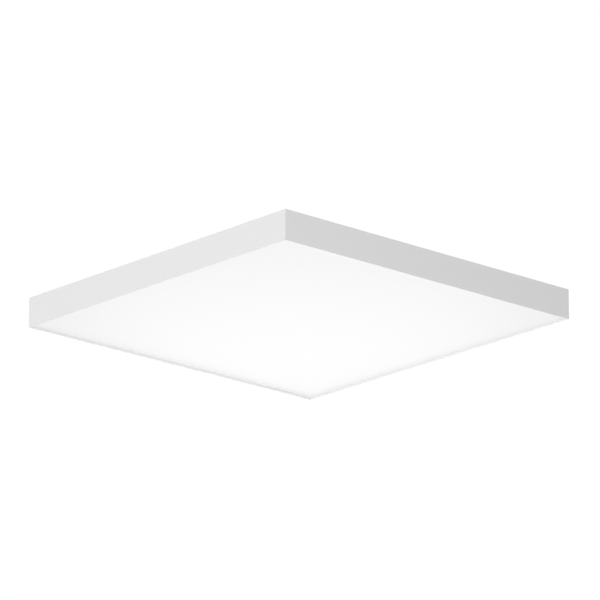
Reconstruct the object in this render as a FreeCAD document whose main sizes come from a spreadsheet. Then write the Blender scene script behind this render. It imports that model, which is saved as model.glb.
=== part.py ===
import FreeCAD, Part
import Sketcher
import math
import os
from types import SimpleNamespace

# Square surface-mounted ceiling light: mitred frame, light unit, driver gear and ceiling bracket.
# Millimetres, +Z up. The origin is the middle of the bracket's fixing slots, on the ceiling plane.

STRIP_COUNT = 6
POLES = ("live", "neutral", "earth")
SIDES = {"front": 0, "right": 90, "back": 180, "left": 270}
CORNERS = {"front_left": 0, "front_right": 90, "back_right": 180, "back_left": 270}
HEAD_CROWN = 0.75  # how much of a screw head's radius its flat top takes
SAME_LEVEL = 1e-4  # two levels closer than this are one

SIZES = {
    # the lamp as a whole
    "lamp_side": 600,
    "lamp_depth": 50,
    "ceiling_gap": 1,
    # frame profile
    "wall": 1.8,
    "edge_radius": 0.4,
    "lip_thickness": 1.8,
    "hook_thickness": 1.5,
    "hook_reach": 2,
    "ledge_depth": 24,
    "ledge_width": 16,
    "ledge_thickness": 1.8,
    # corner keys and their grub screws
    "key_height": 12,
    "key_thickness": 2.5,
    "key_leg": 40,
    "key_clearance": 0.15,
    "grub_radius": 2,
    "grub_length": 5,
    "grub_socket": 1,
    "grub_first": 14,
    "grub_spacing": 16,
    # screws and rivets
    "screw_radius": 1.75,
    "screw_head_radius": 3.4,
    "screw_head_height": 2.2,
    "screw_clearance": 0.3,
    "thread_clearance": 0.1,
    "screw_tip": 2,
    "tip_cover": 0.2,
    "recess_arm": 2,
    "recess_width": 0.9,
    "recess_depth": 1,
    "rivet_radius": 1.6,
    "rivet_head_radius": 3,
    "rivet_head_height": 1,
    # back panel
    "panel_thickness": 1.5,
    "panel_clearance": 0.5,
    # diffuser
    "diffuser_recess": 4,
    "diffuser_thickness": 2,
    "diffuser_wall": 2,
    "diffuser_gap": 0.4,
    "diffuser_seat": 0.3,
    "rib_reach": 1.6,
    "rib_height": 1.2,
    # diffuser clips
    "clip_end": 100,
    "clip_width": 14,
    "clip_thickness": 0.5,
    "clip_floor_gap": 2.8,
    "clip_gap": 0.3,
    "clip_bite": 1.2,
    "clip_hump": 1.5,
    "clip_tail": 2.6,
    "clip_flare": 2.1,
    # LED strips, packages and lenses
    "board_thickness": 1.2,
    "strip_margin": 18,
    "strip_side_margin": 54,
    "strip_width": 20,
    "led_margin": 30,
    "led_pitch": 64,
    "led_side": 3,
    "led_height": 0.8,
    "lens_radius": 9,
    "lens_height": 6,
    "lens_rim": 1.5,
    "lens_crown": 4,
    "lens_dimple": 1.5,
    "lens_cavity_radius": 3.5,
    "lens_cavity_depth": 3,
    "lens_clearance": 0.5,
    "strip_screw_radius": 1.45,
    "strip_screw_head_radius": 2.8,
    "strip_screw_head_height": 1.6,
    # link board across the strips' ends, and its connectors
    "link_width": 16,
    "link_margin": 10,
    "link_overhang": 14,
    "board_gap": 4,
    "connector_bite": 6,
    "connector_width": 10,
    "connector_height": 4,
    "lead_connector_width": 12,
    "lead_connector_height": 5,
    "lead_connector_inset": 1,
    # reflector sheet
    "reflector_thickness": 0.4,
    "reflector_clearance": 0.6,
    # ceiling bracket
    "sheet": 1.2,
    "rail_spacing": 300,
    "rail_width": 40,
    "rail_height": 13,
    "slot_spacing": 360,
    "slot_radius": 2.75,
    "slot_run": 10,
    "tab_relief": 2,
    "bridge_width": 100,
    "bridge_drop": 2.5,
    "bridge_tab_edge": 1,
    "bridge_rivet_spacing": 60,
    # cable grommet
    "cable_radius": 4.5,
    "cable_clearance": 0.5,
    "grommet_wall": 4,
    "grommet_flange": 3,
    "grommet_flange_thickness": 1.8,
    "rubber_clearance": 0.1,
    # spring catches at the rail ends
    "catch_standoff": 3.5,
    "catch_width": 24,
    "spring_thickness": 0.5,
    "catch_bite": 1.8,
    "catch_drop": 2.4,
    "catch_ramp": 5.3,
    "catch_foot_edge": 0.25,
    "catch_rise": 1.1,
    "catch_flare": 1.3,
    "catch_rivet_spacing": 14,
    # leads
    "lead_radius": 1.1,
    "lead_clearance": 0.4,
    "lead_height": 5,
    "lead_pitch": 10,
    "lead_spread": 2,
    "lead_bend": 8,
    "lead_drop_bend": 3.5,
    "lead_grip": 8,
    "saddle_length": 8,
    "saddle_wall": 1.6,
    # rubber bush in the back panel
    "bush_inset": 22,
    "bush_bore": 4.6,
    "bush_wall": 1.6,
    "bush_flange": 2,
    "bush_flange_thickness": 1,
    # LED driver
    "driver_offset": 28,
    "driver_length": 200,
    "driver_width": 58,
    "driver_headroom": 4,
    "driver_floor": 1.2,
    "cover_wall": 1.4,
    "cover_radius": 1,
    "cover_fit": 0.3,
    "driver_rib": 1.2,
    "driver_rib_height": 5,
    "driver_ear": 12,
    "driver_ear_width": 18,
    "post_radius": 2.5,
    "post_height": 3,
    "post_inset": 6,
    "driver_board_thickness": 1.6,
    "driver_board_gap": 0.5,
    "terminal_length": 16,
    "terminal_width": 22,
    "terminal_height": 9,
    "terminal_proud": 0.4,
    "transformer_length": 30,
    "transformer_width": 26,
    "transformer_headroom": 2.3,
    "coil_length": 20,
    "coil_overhang": 4,
    "coil_height": 6.5,
    "capacitor_radius": 5,
    "capacitor_headroom": 1.8,
    "capacitor_bevel": 0.8,
    "capacitor_along": 38,
    "capacitor_spacing": 14,
    # colour-temperature selector on the driver
    "selector_end": 21,
    "selector_length": 16,
    "selector_width": 9,
    "slider_play": 1,
    "slider_length": 4,
    "slider_width": 3,
    "slider_foot": 1,
    "slider_foot_edge": 1,
    "slider_rise": 1.5,
    "slider_travel": 2,
    "slider_clearance": 0.3,
    # mains terminal block
    "block_across": -105,
    "block_width": 38,
    "block_length": 22,
    "block_ear": 9,
    "block_ear_height": 3,
    "pole_pitch": 11,
    "well_floor": 0.8,
    "button_width": 4.4,
    "button_length": 6,
    "button_height": 7,
    "button_rise": 2,
    "button_travel": 1.8,
    "button_clearance": 0.3,
    "contact_wall": 0.6,
    "contact_length": 7,
    # cable clamp
    "clamp_across": -72,
    "clamp_length": 10,
    "clamp_ear": 9,
    "clamp_ear_height": 3,
    "clamp_wall": 3,
    # earth point
    "earth_along": 60,
    "earth_offset": 13,
    "lug_radius": 4.2,
    "lug_thickness": 0.8,
    "lug_tongue": 12,
    "lug_barrel_length": 6,
    "lug_barrel_wall": 0.7,
}


class Length:
    """A length in millimetres, kept together with the formula on the sheet's cells that gives it."""

    def __init__(self, value, formula):
        self.value = value
        self.formula = formula

    def __add__(self, other):
        return combine(self, "+", other)

    def __radd__(self, other):
        return combine(other, "+", self)

    def __sub__(self, other):
        return combine(self, "-", other)

    def __rsub__(self, other):
        return combine(other, "-", self)

    def __mul__(self, other):
        return combine(self, "*", other)

    def __rmul__(self, other):
        return combine(other, "*", self)

    def __truediv__(self, other):
        return combine(self, "/", other)

    def __neg__(self):
        return combine(0, "-", self)


ARITHMETIC = {
    "+": lambda left, right: left + right,
    "-": lambda left, right: left - right,
    "*": lambda left, right: left * right,
    "/": lambda left, right: left / right,
}


def as_length(value):
    """Plain numbers become lengths whose formula is the number itself."""
    if isinstance(value, Length):
        return value
    return Length(float(value), repr(float(value)))


def combine(left, sign, right):
    """Work out one arithmetic step both as a number and as a formula."""
    left = as_length(left)
    right = as_length(right)
    value = ARITHMETIC[sign](left.value, right.value)
    return Length(value, f"({left.formula} {sign} {right.formula})")


doc = FreeCAD.newDocument("CeilingLight")
sheet = doc.addObject("Spreadsheet::Sheet", "Sizes")
for row, (alias, number) in enumerate(SIZES.items(), start=1):
    sheet.set(f"A{row}", alias)
    sheet.set(f"B{row}", str(number))
    sheet.setAlias(f"B{row}", alias)
doc.recompute()
size = SimpleNamespace(**{alias: Length(float(sheet.get(alias)), f"Sizes.{alias}") for alias in SIZES})

# Levels and reaches that several pieces share. Reaches run inwards from the lamp's outer face.
half = size.lamp_side / 2
frame_top = -size.ceiling_gap
frame_bottom = -size.lamp_depth
lip_bottom = frame_top - size.lip_thickness
ledge_top = -size.ledge_depth
ledge_bottom = ledge_top - size.ledge_thickness
key_room = size.key_thickness + 2 * size.key_clearance
hook_edge = size.wall + key_room + size.hook_thickness
channel_top = ledge_top + size.key_height + 2 * size.key_clearance
key_middle = ledge_top + size.key_clearance + size.key_height / 2
screw_line = (hook_edge + size.ledge_width) / 2
panel_top = ledge_top + size.panel_thickness
board_bottom = ledge_top - size.board_thickness
reflector_bottom = board_bottom - size.reflector_thickness
strip_left = -half + size.ledge_width + size.strip_margin
strip_right = half - size.ledge_width - size.link_margin - size.link_width - size.board_gap
strip_length = strip_right - strip_left
strip_middle = (strip_left + strip_right) / 2
strip_pitch = 2 * (half - size.ledge_width - size.strip_side_margin) / (STRIP_COUNT - 1)
leds_per_strip = 1 + int((strip_length - 2 * size.led_margin).value / size.led_pitch.value)
link_left = strip_right + size.board_gap
link_middle = link_left + size.link_width / 2
tab_reach = hook_edge + size.catch_standoff
catch_apex = lip_bottom - size.catch_drop
catch_foot_top = catch_apex - size.catch_ramp
catch_foot = 2 * (size.rivet_head_radius + size.catch_foot_edge)
catch_bottom = catch_foot_top - catch_foot
bridge_top = -size.bridge_drop
bridge_end = size.rail_spacing / 2 - size.rail_width / 2
bridge_tab = 2 * (size.rivet_head_radius + size.bridge_tab_edge)
bridge_bottom = bridge_top - size.sheet - bridge_tab
bridge_rivet_level = bridge_bottom + bridge_tab / 2
grommet_bore = size.cable_radius + size.cable_clearance
bush_hole = size.bush_bore + size.bush_wall
bush_along = link_left - size.bush_inset
bush_across = strip_pitch  # midway between two strips
lead_bore = size.lead_radius + size.lead_clearance
driver_across = bush_across + size.driver_offset
driver_height = -panel_top - size.driver_headroom
driver_board_level = size.driver_floor + size.post_height
driver_deck = driver_board_level + size.driver_board_thickness
driver_room = driver_height - size.cover_wall - driver_deck
selector_height = driver_room - size.slider_play - size.slider_foot - size.slider_clearance
earth_across = size.block_across + size.earth_offset
button_well = size.button_height - size.button_rise + size.button_travel + size.button_clearance
contact_bore = lead_bore + size.contact_wall + size.rubber_clearance
block_height = size.lead_height + contact_bore + size.well_floor + button_well
clamp_room = size.cable_radius + size.cable_clearance
clip_offset = half - size.clip_end
diffuser_bottom = frame_bottom + size.diffuser_recess
diffuser_floor = diffuser_bottom + size.diffuser_thickness
clip_tail_level = diffuser_floor + size.clip_floor_gap
clip_hump_level = clip_tail_level + size.clip_tail
clip_shoulder_level = clip_hump_level + size.clip_hump
rib_bottom = clip_shoulder_level + size.clip_gap

ZERO = as_length(0)
UP = FreeCAD.Vector(0, 0, 1)
ALONG_X = FreeCAD.Rotation(FreeCAD.Vector(0, 1, 0), 90)
ALONG_Y = FreeCAD.Rotation(FreeCAD.Vector(1, 0, 0), -90)
UPSIDE_DOWN = FreeCAD.Rotation(FreeCAD.Vector(1, 0, 0), 180)
UPRIGHT = FreeCAD.Rotation()

pieces = []


# Drawing aids


def bind(thing, path, length):
    """Tie one property to the sheet."""
    thing.setExpression(path, as_length(length).formula)


def new_body(label):
    body = doc.addObject("PartDesign::Body", label)
    body.Label = label
    return body


def new_piece(label):
    """A body that is handed out as a sub-part of its own."""
    body = new_body(label)
    pieces.append(body)
    return body


def stand_at(body, along, across, level):
    """Bind a body's place to the sheet."""
    bind(body, "Placement.Base.x", along)
    bind(body, "Placement.Base.y", across)
    bind(body, "Placement.Base.z", level)


def sketch_on(body, role, offset=ZERO):
    """A sketch on one of the body's own origin planes, moved along that plane's normal."""
    sketch = body.newObject("Sketcher::SketchObject", "Outline")
    plane = next(feature for feature in body.Origin.OriginFeatures if feature.Role == role)
    sketch.AttachmentSupport = (plane, "")
    sketch.MapMode = "FlatFace"
    bind(sketch, "AttachmentOffset.Base.z", offset)
    return sketch


def fix_point(sketch, geometry, position, point):
    """Hold one point of the sketch at a bound place."""
    for kind, length in zip(("DistanceX", "DistanceY"), point):
        length = as_length(length)
        constraint = Sketcher.Constraint(kind, -1, 1, geometry, position, length.value)
        index = sketch.addConstraint(constraint)
        bind(sketch, f"Constraints[{index}]", length)


def flat(point):
    return FreeCAD.Vector(as_length(point[0]).value, as_length(point[1]).value, 0)


def add_outline(sketch, points):
    """A closed loop of straight lines, each corner bound."""
    first = sketch.GeometryCount
    count = len(points)
    for corner in range(count):
        start = flat(points[corner])
        end = flat(points[(corner + 1) % count])
        sketch.addGeometry(Part.LineSegment(start, end))
    for corner in range(count):
        following = first + (corner + 1) % count
        sketch.addConstraint(Sketcher.Constraint("Coincident", first + corner, 2, following, 1))
        fix_point(sketch, first + corner, 1, points[corner])


def add_rectangle(sketch, low, high):
    add_outline(sketch, [low, (high[0], low[1]), high, (low[0], high[1])])


def add_centred_rectangle(sketch, centre, width, height):
    low = (centre[0] - width / 2, centre[1] - height / 2)
    high = (centre[0] + width / 2, centre[1] + height / 2)
    add_rectangle(sketch, low, high)


def add_circle(sketch, centre, radius):
    circle = sketch.addGeometry(Part.Circle(flat(centre), UP, radius.value))
    fix_point(sketch, circle, 3, centre)
    index = sketch.addConstraint(Sketcher.Constraint("Radius", circle, radius.value))
    bind(sketch, f"Constraints[{index}]", radius)


def add_half_round(sketch, centre, radius, turn):
    """Half a circle, drawn counter-clockwise from the angle turn."""
    circle = Part.Circle(flat(centre), UP, radius.value)
    arc = sketch.addGeometry(Part.ArcOfCircle(circle, turn, turn + math.pi))
    fix_point(sketch, arc, 3, centre)
    return arc


def add_slot(sketch, centre, run, radius):
    """A slot along the sketch's first axis; run is the distance between its end centres."""
    left = (centre[0] - run / 2, as_length(centre[1]))
    right = (centre[0] + run / 2, as_length(centre[1]))
    right_end = add_half_round(sketch, right, radius, -math.pi / 2)
    left_end = add_half_round(sketch, left, radius, math.pi / 2)
    corners = [(right[0], right[1] + radius), (left[0], left[1] + radius)]
    top = sketch.addGeometry(Part.LineSegment(flat(corners[0]), flat(corners[1])))
    corners = [(left[0], left[1] - radius), (right[0], right[1] - radius)]
    bottom = sketch.addGeometry(Part.LineSegment(flat(corners[0]), flat(corners[1])))
    sketch.addConstraint(Sketcher.Constraint("Tangent", right_end, 2, top, 1))
    sketch.addConstraint(Sketcher.Constraint("Tangent", top, 2, left_end, 1))
    sketch.addConstraint(Sketcher.Constraint("Tangent", left_end, 2, bottom, 1))
    sketch.addConstraint(Sketcher.Constraint("Tangent", bottom, 2, right_end, 1))
    sketch.addConstraint(Sketcher.Constraint("Equal", right_end, left_end))
    index = sketch.addConstraint(Sketcher.Constraint("Radius", right_end, radius.value))
    bind(sketch, f"Constraints[{index}]", radius)


def pad(body, sketch, length, both_ways=False):
    feature = body.newObject("PartDesign::Pad", "Pad")
    feature.Profile = sketch
    if both_ways:
        feature.SideType = "Symmetric"
    bind(feature, "Length", length)
    return feature


def pocket(body, sketch, depth):
    """Cut from the sketch against its normal."""
    feature = body.newObject("PartDesign::Pocket", "Pocket")
    feature.Profile = sketch
    bind(feature, "Length", depth)
    return feature


def pocket_through(body, sketch):
    """Cut everything in front of and behind the sketch."""
    feature = body.newObject("PartDesign::Pocket", "Pocket")
    feature.Profile = sketch
    feature.SideType = "Symmetric"
    feature.Type = "ThroughAll"
    return feature


def turn(body, points):
    """A full turn of an outline, given as radius and level, about the body's upright axis."""
    sketch = sketch_on(body, "XZ_Plane")
    add_outline(sketch, points)
    feature = body.newObject("PartDesign::Revolution", "Turning")
    feature.Profile = sketch
    feature.ReferenceAxis = (sketch, ["V_Axis"])
    feature.Angle = 360
    return feature


def round_edges(body, base, radius, wanted):
    """Fillet the edges of the base feature whose middle passes the test."""
    doc.recompute()
    names = []
    for number, edge in enumerate(base.Shape.Edges, start=1):
        if wanted(edge.BoundBox.Center):
            names.append(f"Edge{number}")
    feature = body.newObject("PartDesign::Fillet", "Rounding")
    feature.Base = (base, names)
    bind(feature, "Radius", radius)
    return feature


def near(first, second):
    return abs(first - second) < SAME_LEVEL


def place(along, across, level, rotation=UPRIGHT, spin=0):
    """A place given by lengths, turned in itself and then swung round the lamp's middle."""
    base = [as_length(value).value for value in (along, across, level)]
    swing = FreeCAD.Placement(FreeCAD.Vector(), FreeCAD.Rotation(UP, spin))
    return swing.multiply(FreeCAD.Placement(FreeCAD.Vector(*base), rotation))


def copies(master, places):
    """The master body's solid at each of the places."""
    doc.recompute()
    solids = []
    for placement in places:
        solid = master.Shape.copy()
        solid.Placement = placement
        solids.append(solid)
    return solids


def new_group(label, solids):
    """Separate solids that make up one sub-part."""
    group = doc.addObject("Part::Feature", label)
    group.Label = label
    group.Shape = Part.makeCompound(solids)
    pieces.append(group)


# Frame


def frame_profile(side, angle):
    """One extruded wall with its top lip, key channel and ledge, mitred at both ends."""
    body = new_piece(f"frame_{side}")
    outer = -half
    key_edge = size.wall + key_room
    profile = [
        (0, frame_bottom),
        (0, frame_top),
        (hook_edge, frame_top),
        (hook_edge, lip_bottom),
        (size.wall, lip_bottom),
        (size.wall, channel_top + size.hook_thickness),
        (hook_edge, channel_top + size.hook_thickness),
        (hook_edge, channel_top - size.hook_reach),
        (key_edge, channel_top - size.hook_reach),
        (key_edge, channel_top),
        (size.wall, channel_top),
        (size.wall, ledge_top),
        (key_edge, ledge_top),
        (key_edge, ledge_top + size.hook_reach),
        (hook_edge, ledge_top + size.hook_reach),
        (hook_edge, ledge_top),
        (size.ledge_width, ledge_top),
        (size.ledge_width, ledge_bottom),
        (size.wall, ledge_bottom),
        (size.wall, frame_bottom),
    ]
    section = sketch_on(body, "YZ_Plane")
    add_outline(section, [(outer + reach, level) for reach, level in profile])
    bar = pad(body, section, size.lamp_side, both_ways=True)

    def is_rim(middle):
        on_outer_face = near(middle.y, outer.value)
        on_inner_face = near(middle.y, outer.value + size.wall.value)
        at_top = near(middle.z, frame_top.value)
        at_bottom = near(middle.z, frame_bottom.value)
        is_long_edge = near(middle.x, 0)
        return is_long_edge and (on_outer_face and (at_top or at_bottom) or on_inner_face and at_bottom)

    round_edges(body, bar, size.edge_radius, is_rim)
    mitre = sketch_on(body, "XY_Plane")
    inner = outer + size.ledge_width + size.wall
    past = outer - size.wall
    for end in (-1, 1):
        add_outline(mitre, [(end * past, past), (end * past, inner), (end * inner, inner)])
    pocket_through(body, mitre)
    holes = sketch_on(body, "XY_Plane", ledge_top)
    for end in (-1, 1):
        spot = (end * clip_offset, outer + screw_line)
        add_circle(holes, spot, size.screw_radius + size.thread_clearance)
    pocket(body, holes, size.ledge_thickness)
    body.Placement = FreeCAD.Placement(FreeCAD.Vector(), FreeCAD.Rotation(UP, angle))


def corner_key(corner, angle):
    """The L-shaped key in the channels of two walls, tapped for four grub screws."""
    body = new_piece(f"corner_key_{corner}")
    outer = -half + size.wall + size.key_clearance
    inner = outer + size.key_thickness
    tip = outer + size.key_leg
    sketch = sketch_on(body, "XY_Plane", ledge_top + size.key_clearance)
    points = [(outer, outer), (tip, outer), (tip, inner), (inner, inner), (inner, tip), (outer, tip)]
    add_outline(sketch, points)
    pad(body, sketch, size.key_height)
    for role in ("XZ_Plane", "YZ_Plane"):
        holes = sketch_on(body, role)
        for along in grub_positions():
            add_circle(holes, (along, key_middle), size.grub_radius + size.thread_clearance)
        pocket_through(body, holes)
    body.Placement = FreeCAD.Placement(FreeCAD.Vector(), FreeCAD.Rotation(UP, angle))


def grub_positions():
    first = -half + size.wall + size.grub_first
    return (first, first + size.grub_spacing)


def corner_grub_screws():
    """Headless screws through the keys, pressing on the walls."""
    master = new_body("grub_screw_pattern")
    outline = [(0, 0), (size.grub_radius, 0), (size.grub_radius, size.grub_length), (0, size.grub_length)]
    turn(master, [(as_length(radius), as_length(level)) for radius, level in outline])
    socket = sketch_on(master, "XY_Plane", size.grub_length)
    corners = [math.radians(60 * corner) for corner in range(6)]
    points = [(size.grub_socket * math.cos(angle), size.grub_socket * math.sin(angle)) for angle in corners]
    add_outline(socket, points)
    pocket(master, socket, size.grub_length / 2)
    wall_face = -half + size.wall
    places = []
    for spin in CORNERS.values():
        for along in grub_positions():
            places.append(place(along, wall_face, key_middle, ALONG_Y, spin))
            places.append(place(wall_face, along, key_middle, ALONG_X, spin))
    new_group("corner_grub_screws", copies(master, places))


def screw_body(label, radius, length, head_radius, head_height):
    """A pan-head screw with a cross recess; the head's underside is at level zero."""
    body = new_body(label)
    points = [
        (ZERO, -length),
        (radius, -length),
        (radius, ZERO),
        (head_radius, ZERO),
        (head_radius, head_height / 2),
        (head_radius * HEAD_CROWN, head_height),
        (ZERO, head_height),
    ]
    turn(body, points)
    recess = sketch_on(body, "XY_Plane", head_height)
    arm = size.recess_arm
    rib = size.recess_width / 2
    points = [
        (arm, -rib),
        (arm, rib),
        (rib, rib),
        (rib, arm),
        (-rib, arm),
        (-rib, rib),
        (-arm, rib),
        (-arm, -rib),
        (-rib, -rib),
        (-rib, -arm),
        (rib, -arm),
        (rib, -rib),
    ]
    add_outline(recess, points)
    pocket(body, recess, size.recess_depth)
    return body


def rivet_body(label, grip):
    """A rivet with two flat heads; its first head ends where the gripped sheets begin, at level zero."""
    body = new_body(label)
    height = size.rivet_head_height
    points = [
        (ZERO, -height),
        (size.rivet_head_radius, -height),
        (size.rivet_head_radius, ZERO),
        (size.rivet_radius, ZERO),
        (size.rivet_radius, grip),
        (size.rivet_head_radius, grip),
        (size.rivet_head_radius, grip + height),
        (ZERO, grip + height),
    ]
    turn(body, points)
    return body


# Back panel and what holds it


def panel_screw_spots():
    """Each screw line's two places on the front wall, with the swing to each side."""
    spots = []
    for spin in SIDES.values():
        for end in (-1, 1):
            spots.append((end * clip_offset, -half + screw_line, spin))
    return spots


def swing_point(along, across, spin):
    """Turn a point about the lamp's middle by a quarter turn or more, keeping its formula."""
    turned = {0: (along, across), 90: (-across, along), 180: (-along, -across), 270: (across, -along)}
    return turned[spin]


def strip_level(strip):
    """How far a strip's middle line lies across the lamp."""
    return (strip - (STRIP_COUNT - 1) / 2) * strip_pitch


def led_along(led):
    return strip_middle + (led - (leds_per_strip - 1) / 2) * size.led_pitch


def led_spots():
    spots = []
    for strip in range(STRIP_COUNT):
        for led in range(leds_per_strip):
            spots.append((led_along(led), strip_level(strip)))
    return spots


def led_places():
    return [place(along, across, board_bottom) for along, across in led_spots()]


def strip_screw_spots(strip):
    """Halfway between two lenses, near both ends of the strip and in its middle."""
    last_gap = leds_per_strip - 2
    spots = []
    for led in (0, last_gap // 2, last_gap):
        spots.append((led_along(led) + size.led_pitch / 2, strip_level(strip)))
    return spots


def gear_screw_spots():
    """Where the driver's ears, the terminal block's ears and the cable clamp's ears are screwed down."""
    spots = []
    for end in (-1, 1):
        driver_spot = end * (size.driver_length / 2 + size.driver_ear / 2)
        block_spot = end * (size.block_width / 2 + size.block_ear / 2)
        clamp_spot = end * (clamp_room + size.clamp_wall + size.clamp_ear / 2)
        spots.append((driver_spot, driver_across, size.driver_floor))
        spots.append((block_spot, size.block_across, size.block_ear_height))
        spots.append((clamp_spot, size.clamp_across, size.clamp_ear_height))
    return spots


def back_panel():
    """The sheet that carries the LED strips below and the gear above."""
    body = new_piece("back_panel")
    edge = half - hook_edge - size.panel_clearance
    plate = sketch_on(body, "XY_Plane", ledge_top)
    add_rectangle(plate, (-edge, -edge), (edge, edge))
    pad(body, plate, size.panel_thickness)
    holes = sketch_on(body, "XY_Plane", panel_top)
    for along, across, spin in panel_screw_spots():
        add_circle(holes, swing_point(along, across, spin), size.screw_radius + size.screw_clearance)
    for strip in range(STRIP_COUNT):
        for spot in strip_screw_spots(strip):
            add_circle(holes, spot, size.strip_screw_radius + size.thread_clearance)
    for along, across, _ in gear_screw_spots():
        add_circle(holes, (along, across), size.screw_radius + size.thread_clearance)
    add_circle(holes, (size.earth_along, earth_across), size.screw_radius + size.thread_clearance)
    add_circle(holes, (bush_along, bush_across), bush_hole)
    pocket(body, holes, size.panel_thickness)


def panel_screws():
    grip = size.panel_thickness + size.ledge_thickness + size.clip_thickness
    length = grip + size.screw_tip
    master = screw_body(
        "panel_screw_pattern", size.screw_radius, length, size.screw_head_radius, size.screw_head_height
    )
    places = [place(along, across, panel_top, UPRIGHT, spin) for along, across, spin in panel_screw_spots()]
    new_group("panel_screws", copies(master, places))


def diffuser_clips():
    """Leaf springs screwed under the ledge, each with a hump under the diffuser's inner rib."""
    master = new_body("diffuser_clip_pattern")
    thickness = size.clip_thickness
    rib_edge = size.wall + size.diffuser_gap + size.diffuser_wall + size.rib_reach
    blade = rib_edge + size.clip_gap
    foot_end = size.ledge_width - thickness
    hump_reach = blade - size.clip_bite
    tail_reach = hump_reach + size.clip_flare
    points = [
        (foot_end, ledge_bottom),
        (blade, ledge_bottom),
        (blade, clip_shoulder_level),
        (hump_reach, clip_hump_level),
        (tail_reach, clip_tail_level),
        (tail_reach + thickness, clip_tail_level),
        (hump_reach + thickness, clip_hump_level),
        (blade + thickness, clip_shoulder_level),
        (blade + thickness, ledge_bottom - thickness),
        (foot_end, ledge_bottom - thickness),
    ]
    section = sketch_on(master, "YZ_Plane")
    add_outline(section, [(reach - half, level) for reach, level in points])
    pad(master, section, size.clip_width, both_ways=True)
    hole = sketch_on(master, "XY_Plane", ledge_bottom)
    add_circle(hole, (ZERO, screw_line - half), size.screw_radius + size.thread_clearance)
    pocket(master, hole, thickness)
    places = []
    for spin in SIDES.values():
        for end in (-1, 1):
            places.append(place(end * clip_offset, 0, 0, UPRIGHT, spin))
    new_group("diffuser_clips", copies(master, places))


# Light unit


def led_strip(strip):
    """One aluminium-core board along the lamp, with its screw holes."""
    body = new_piece(f"led_strip_{strip + 1}")
    board = sketch_on(body, "XY_Plane", board_bottom)
    add_centred_rectangle(board, (strip_middle, strip_level(strip)), strip_length, size.strip_width)
    pad(body, board, size.board_thickness)
    holes = sketch_on(body, "XY_Plane", ledge_top)
    for spot in strip_screw_spots(strip):
        add_circle(holes, spot, size.strip_screw_radius + size.screw_clearance)
    pocket(body, holes, size.board_thickness)


def led_packages():
    master = new_body("led_package_pattern")
    sketch = sketch_on(master, "XY_Plane", -size.led_height)
    add_centred_rectangle(sketch, (ZERO, ZERO), size.led_side, size.led_side)
    pad(master, sketch, size.led_height)
    new_group("led_packages", copies(master, led_places()))


def led_lenses():
    """Wide-beam lenses over the LEDs: a rounded crown with a dimple, and a hollow for the package."""
    master = new_body("led_lens_pattern")
    points = [
        (size.lens_cavity_radius, ZERO),
        (size.lens_radius, ZERO),
        (size.lens_radius, -size.lens_rim),
        (size.lens_crown, -size.lens_height),
        (ZERO, size.lens_dimple - size.lens_height),
        (ZERO, -size.lens_cavity_depth),
    ]
    dome = turn(master, points)

    def is_crown_edge(middle):
        return near(middle.z, -size.lens_height.value) or near(middle.z, -size.lens_rim.value)

    round_edges(master, dome, size.lens_rim, is_crown_edge)
    new_group("led_lenses", copies(master, led_places()))


def strip_screws():
    """Short screws from below through the reflector and the strips into the back panel."""
    length = size.reflector_thickness + size.board_thickness + size.panel_thickness - size.tip_cover
    master = screw_body(
        "strip_screw_pattern",
        size.strip_screw_radius,
        length,
        size.strip_screw_head_radius,
        size.strip_screw_head_height,
    )
    places = []
    for strip in range(STRIP_COUNT):
        for along, across in strip_screw_spots(strip):
            places.append(place(along, across, reflector_bottom, UPSIDE_DOWN))
    new_group("strip_screws", copies(master, places))


def link_board():
    """The board across the ends of the strips, which feeds them all."""
    body = new_piece("link_board")
    reach = strip_level(STRIP_COUNT - 1) + size.link_overhang
    board = sketch_on(body, "XY_Plane", board_bottom)
    add_rectangle(board, (link_left, -reach), (link_left + size.link_width, reach))
    pad(body, board, size.board_thickness)


def strip_connectors():
    """Plug bridges from each strip to the link board."""
    master = new_body("strip_connector_pattern")
    length = size.board_gap + 2 * size.connector_bite
    sketch = sketch_on(master, "XY_Plane", -size.connector_height)
    add_centred_rectangle(sketch, (ZERO, ZERO), length, size.connector_width)
    pad(master, sketch, size.connector_height)
    middle = strip_right + size.board_gap / 2
    places = [place(middle, strip_level(strip), board_bottom) for strip in range(STRIP_COUNT)]
    new_group("strip_connectors", copies(master, places))


def lead_connector():
    """The plug on the link board that takes the two leads from the driver."""
    body = new_piece("lead_connector")
    length = size.link_width - 2 * size.lead_connector_inset
    block = sketch_on(body, "XY_Plane", board_bottom - size.lead_connector_height)
    add_centred_rectangle(block, (link_middle, bush_across), length, size.lead_connector_width)
    pad(body, block, size.lead_connector_height)
    entries = sketch_on(body, "YZ_Plane", link_left + size.lead_connector_inset + size.lead_grip)
    level = board_bottom - size.lead_connector_height / 2
    for end in (-1, 1):
        add_circle(entries, (bush_across + end * size.lead_spread, level), lead_bore)
    pocket(body, entries, size.lead_grip)


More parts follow.
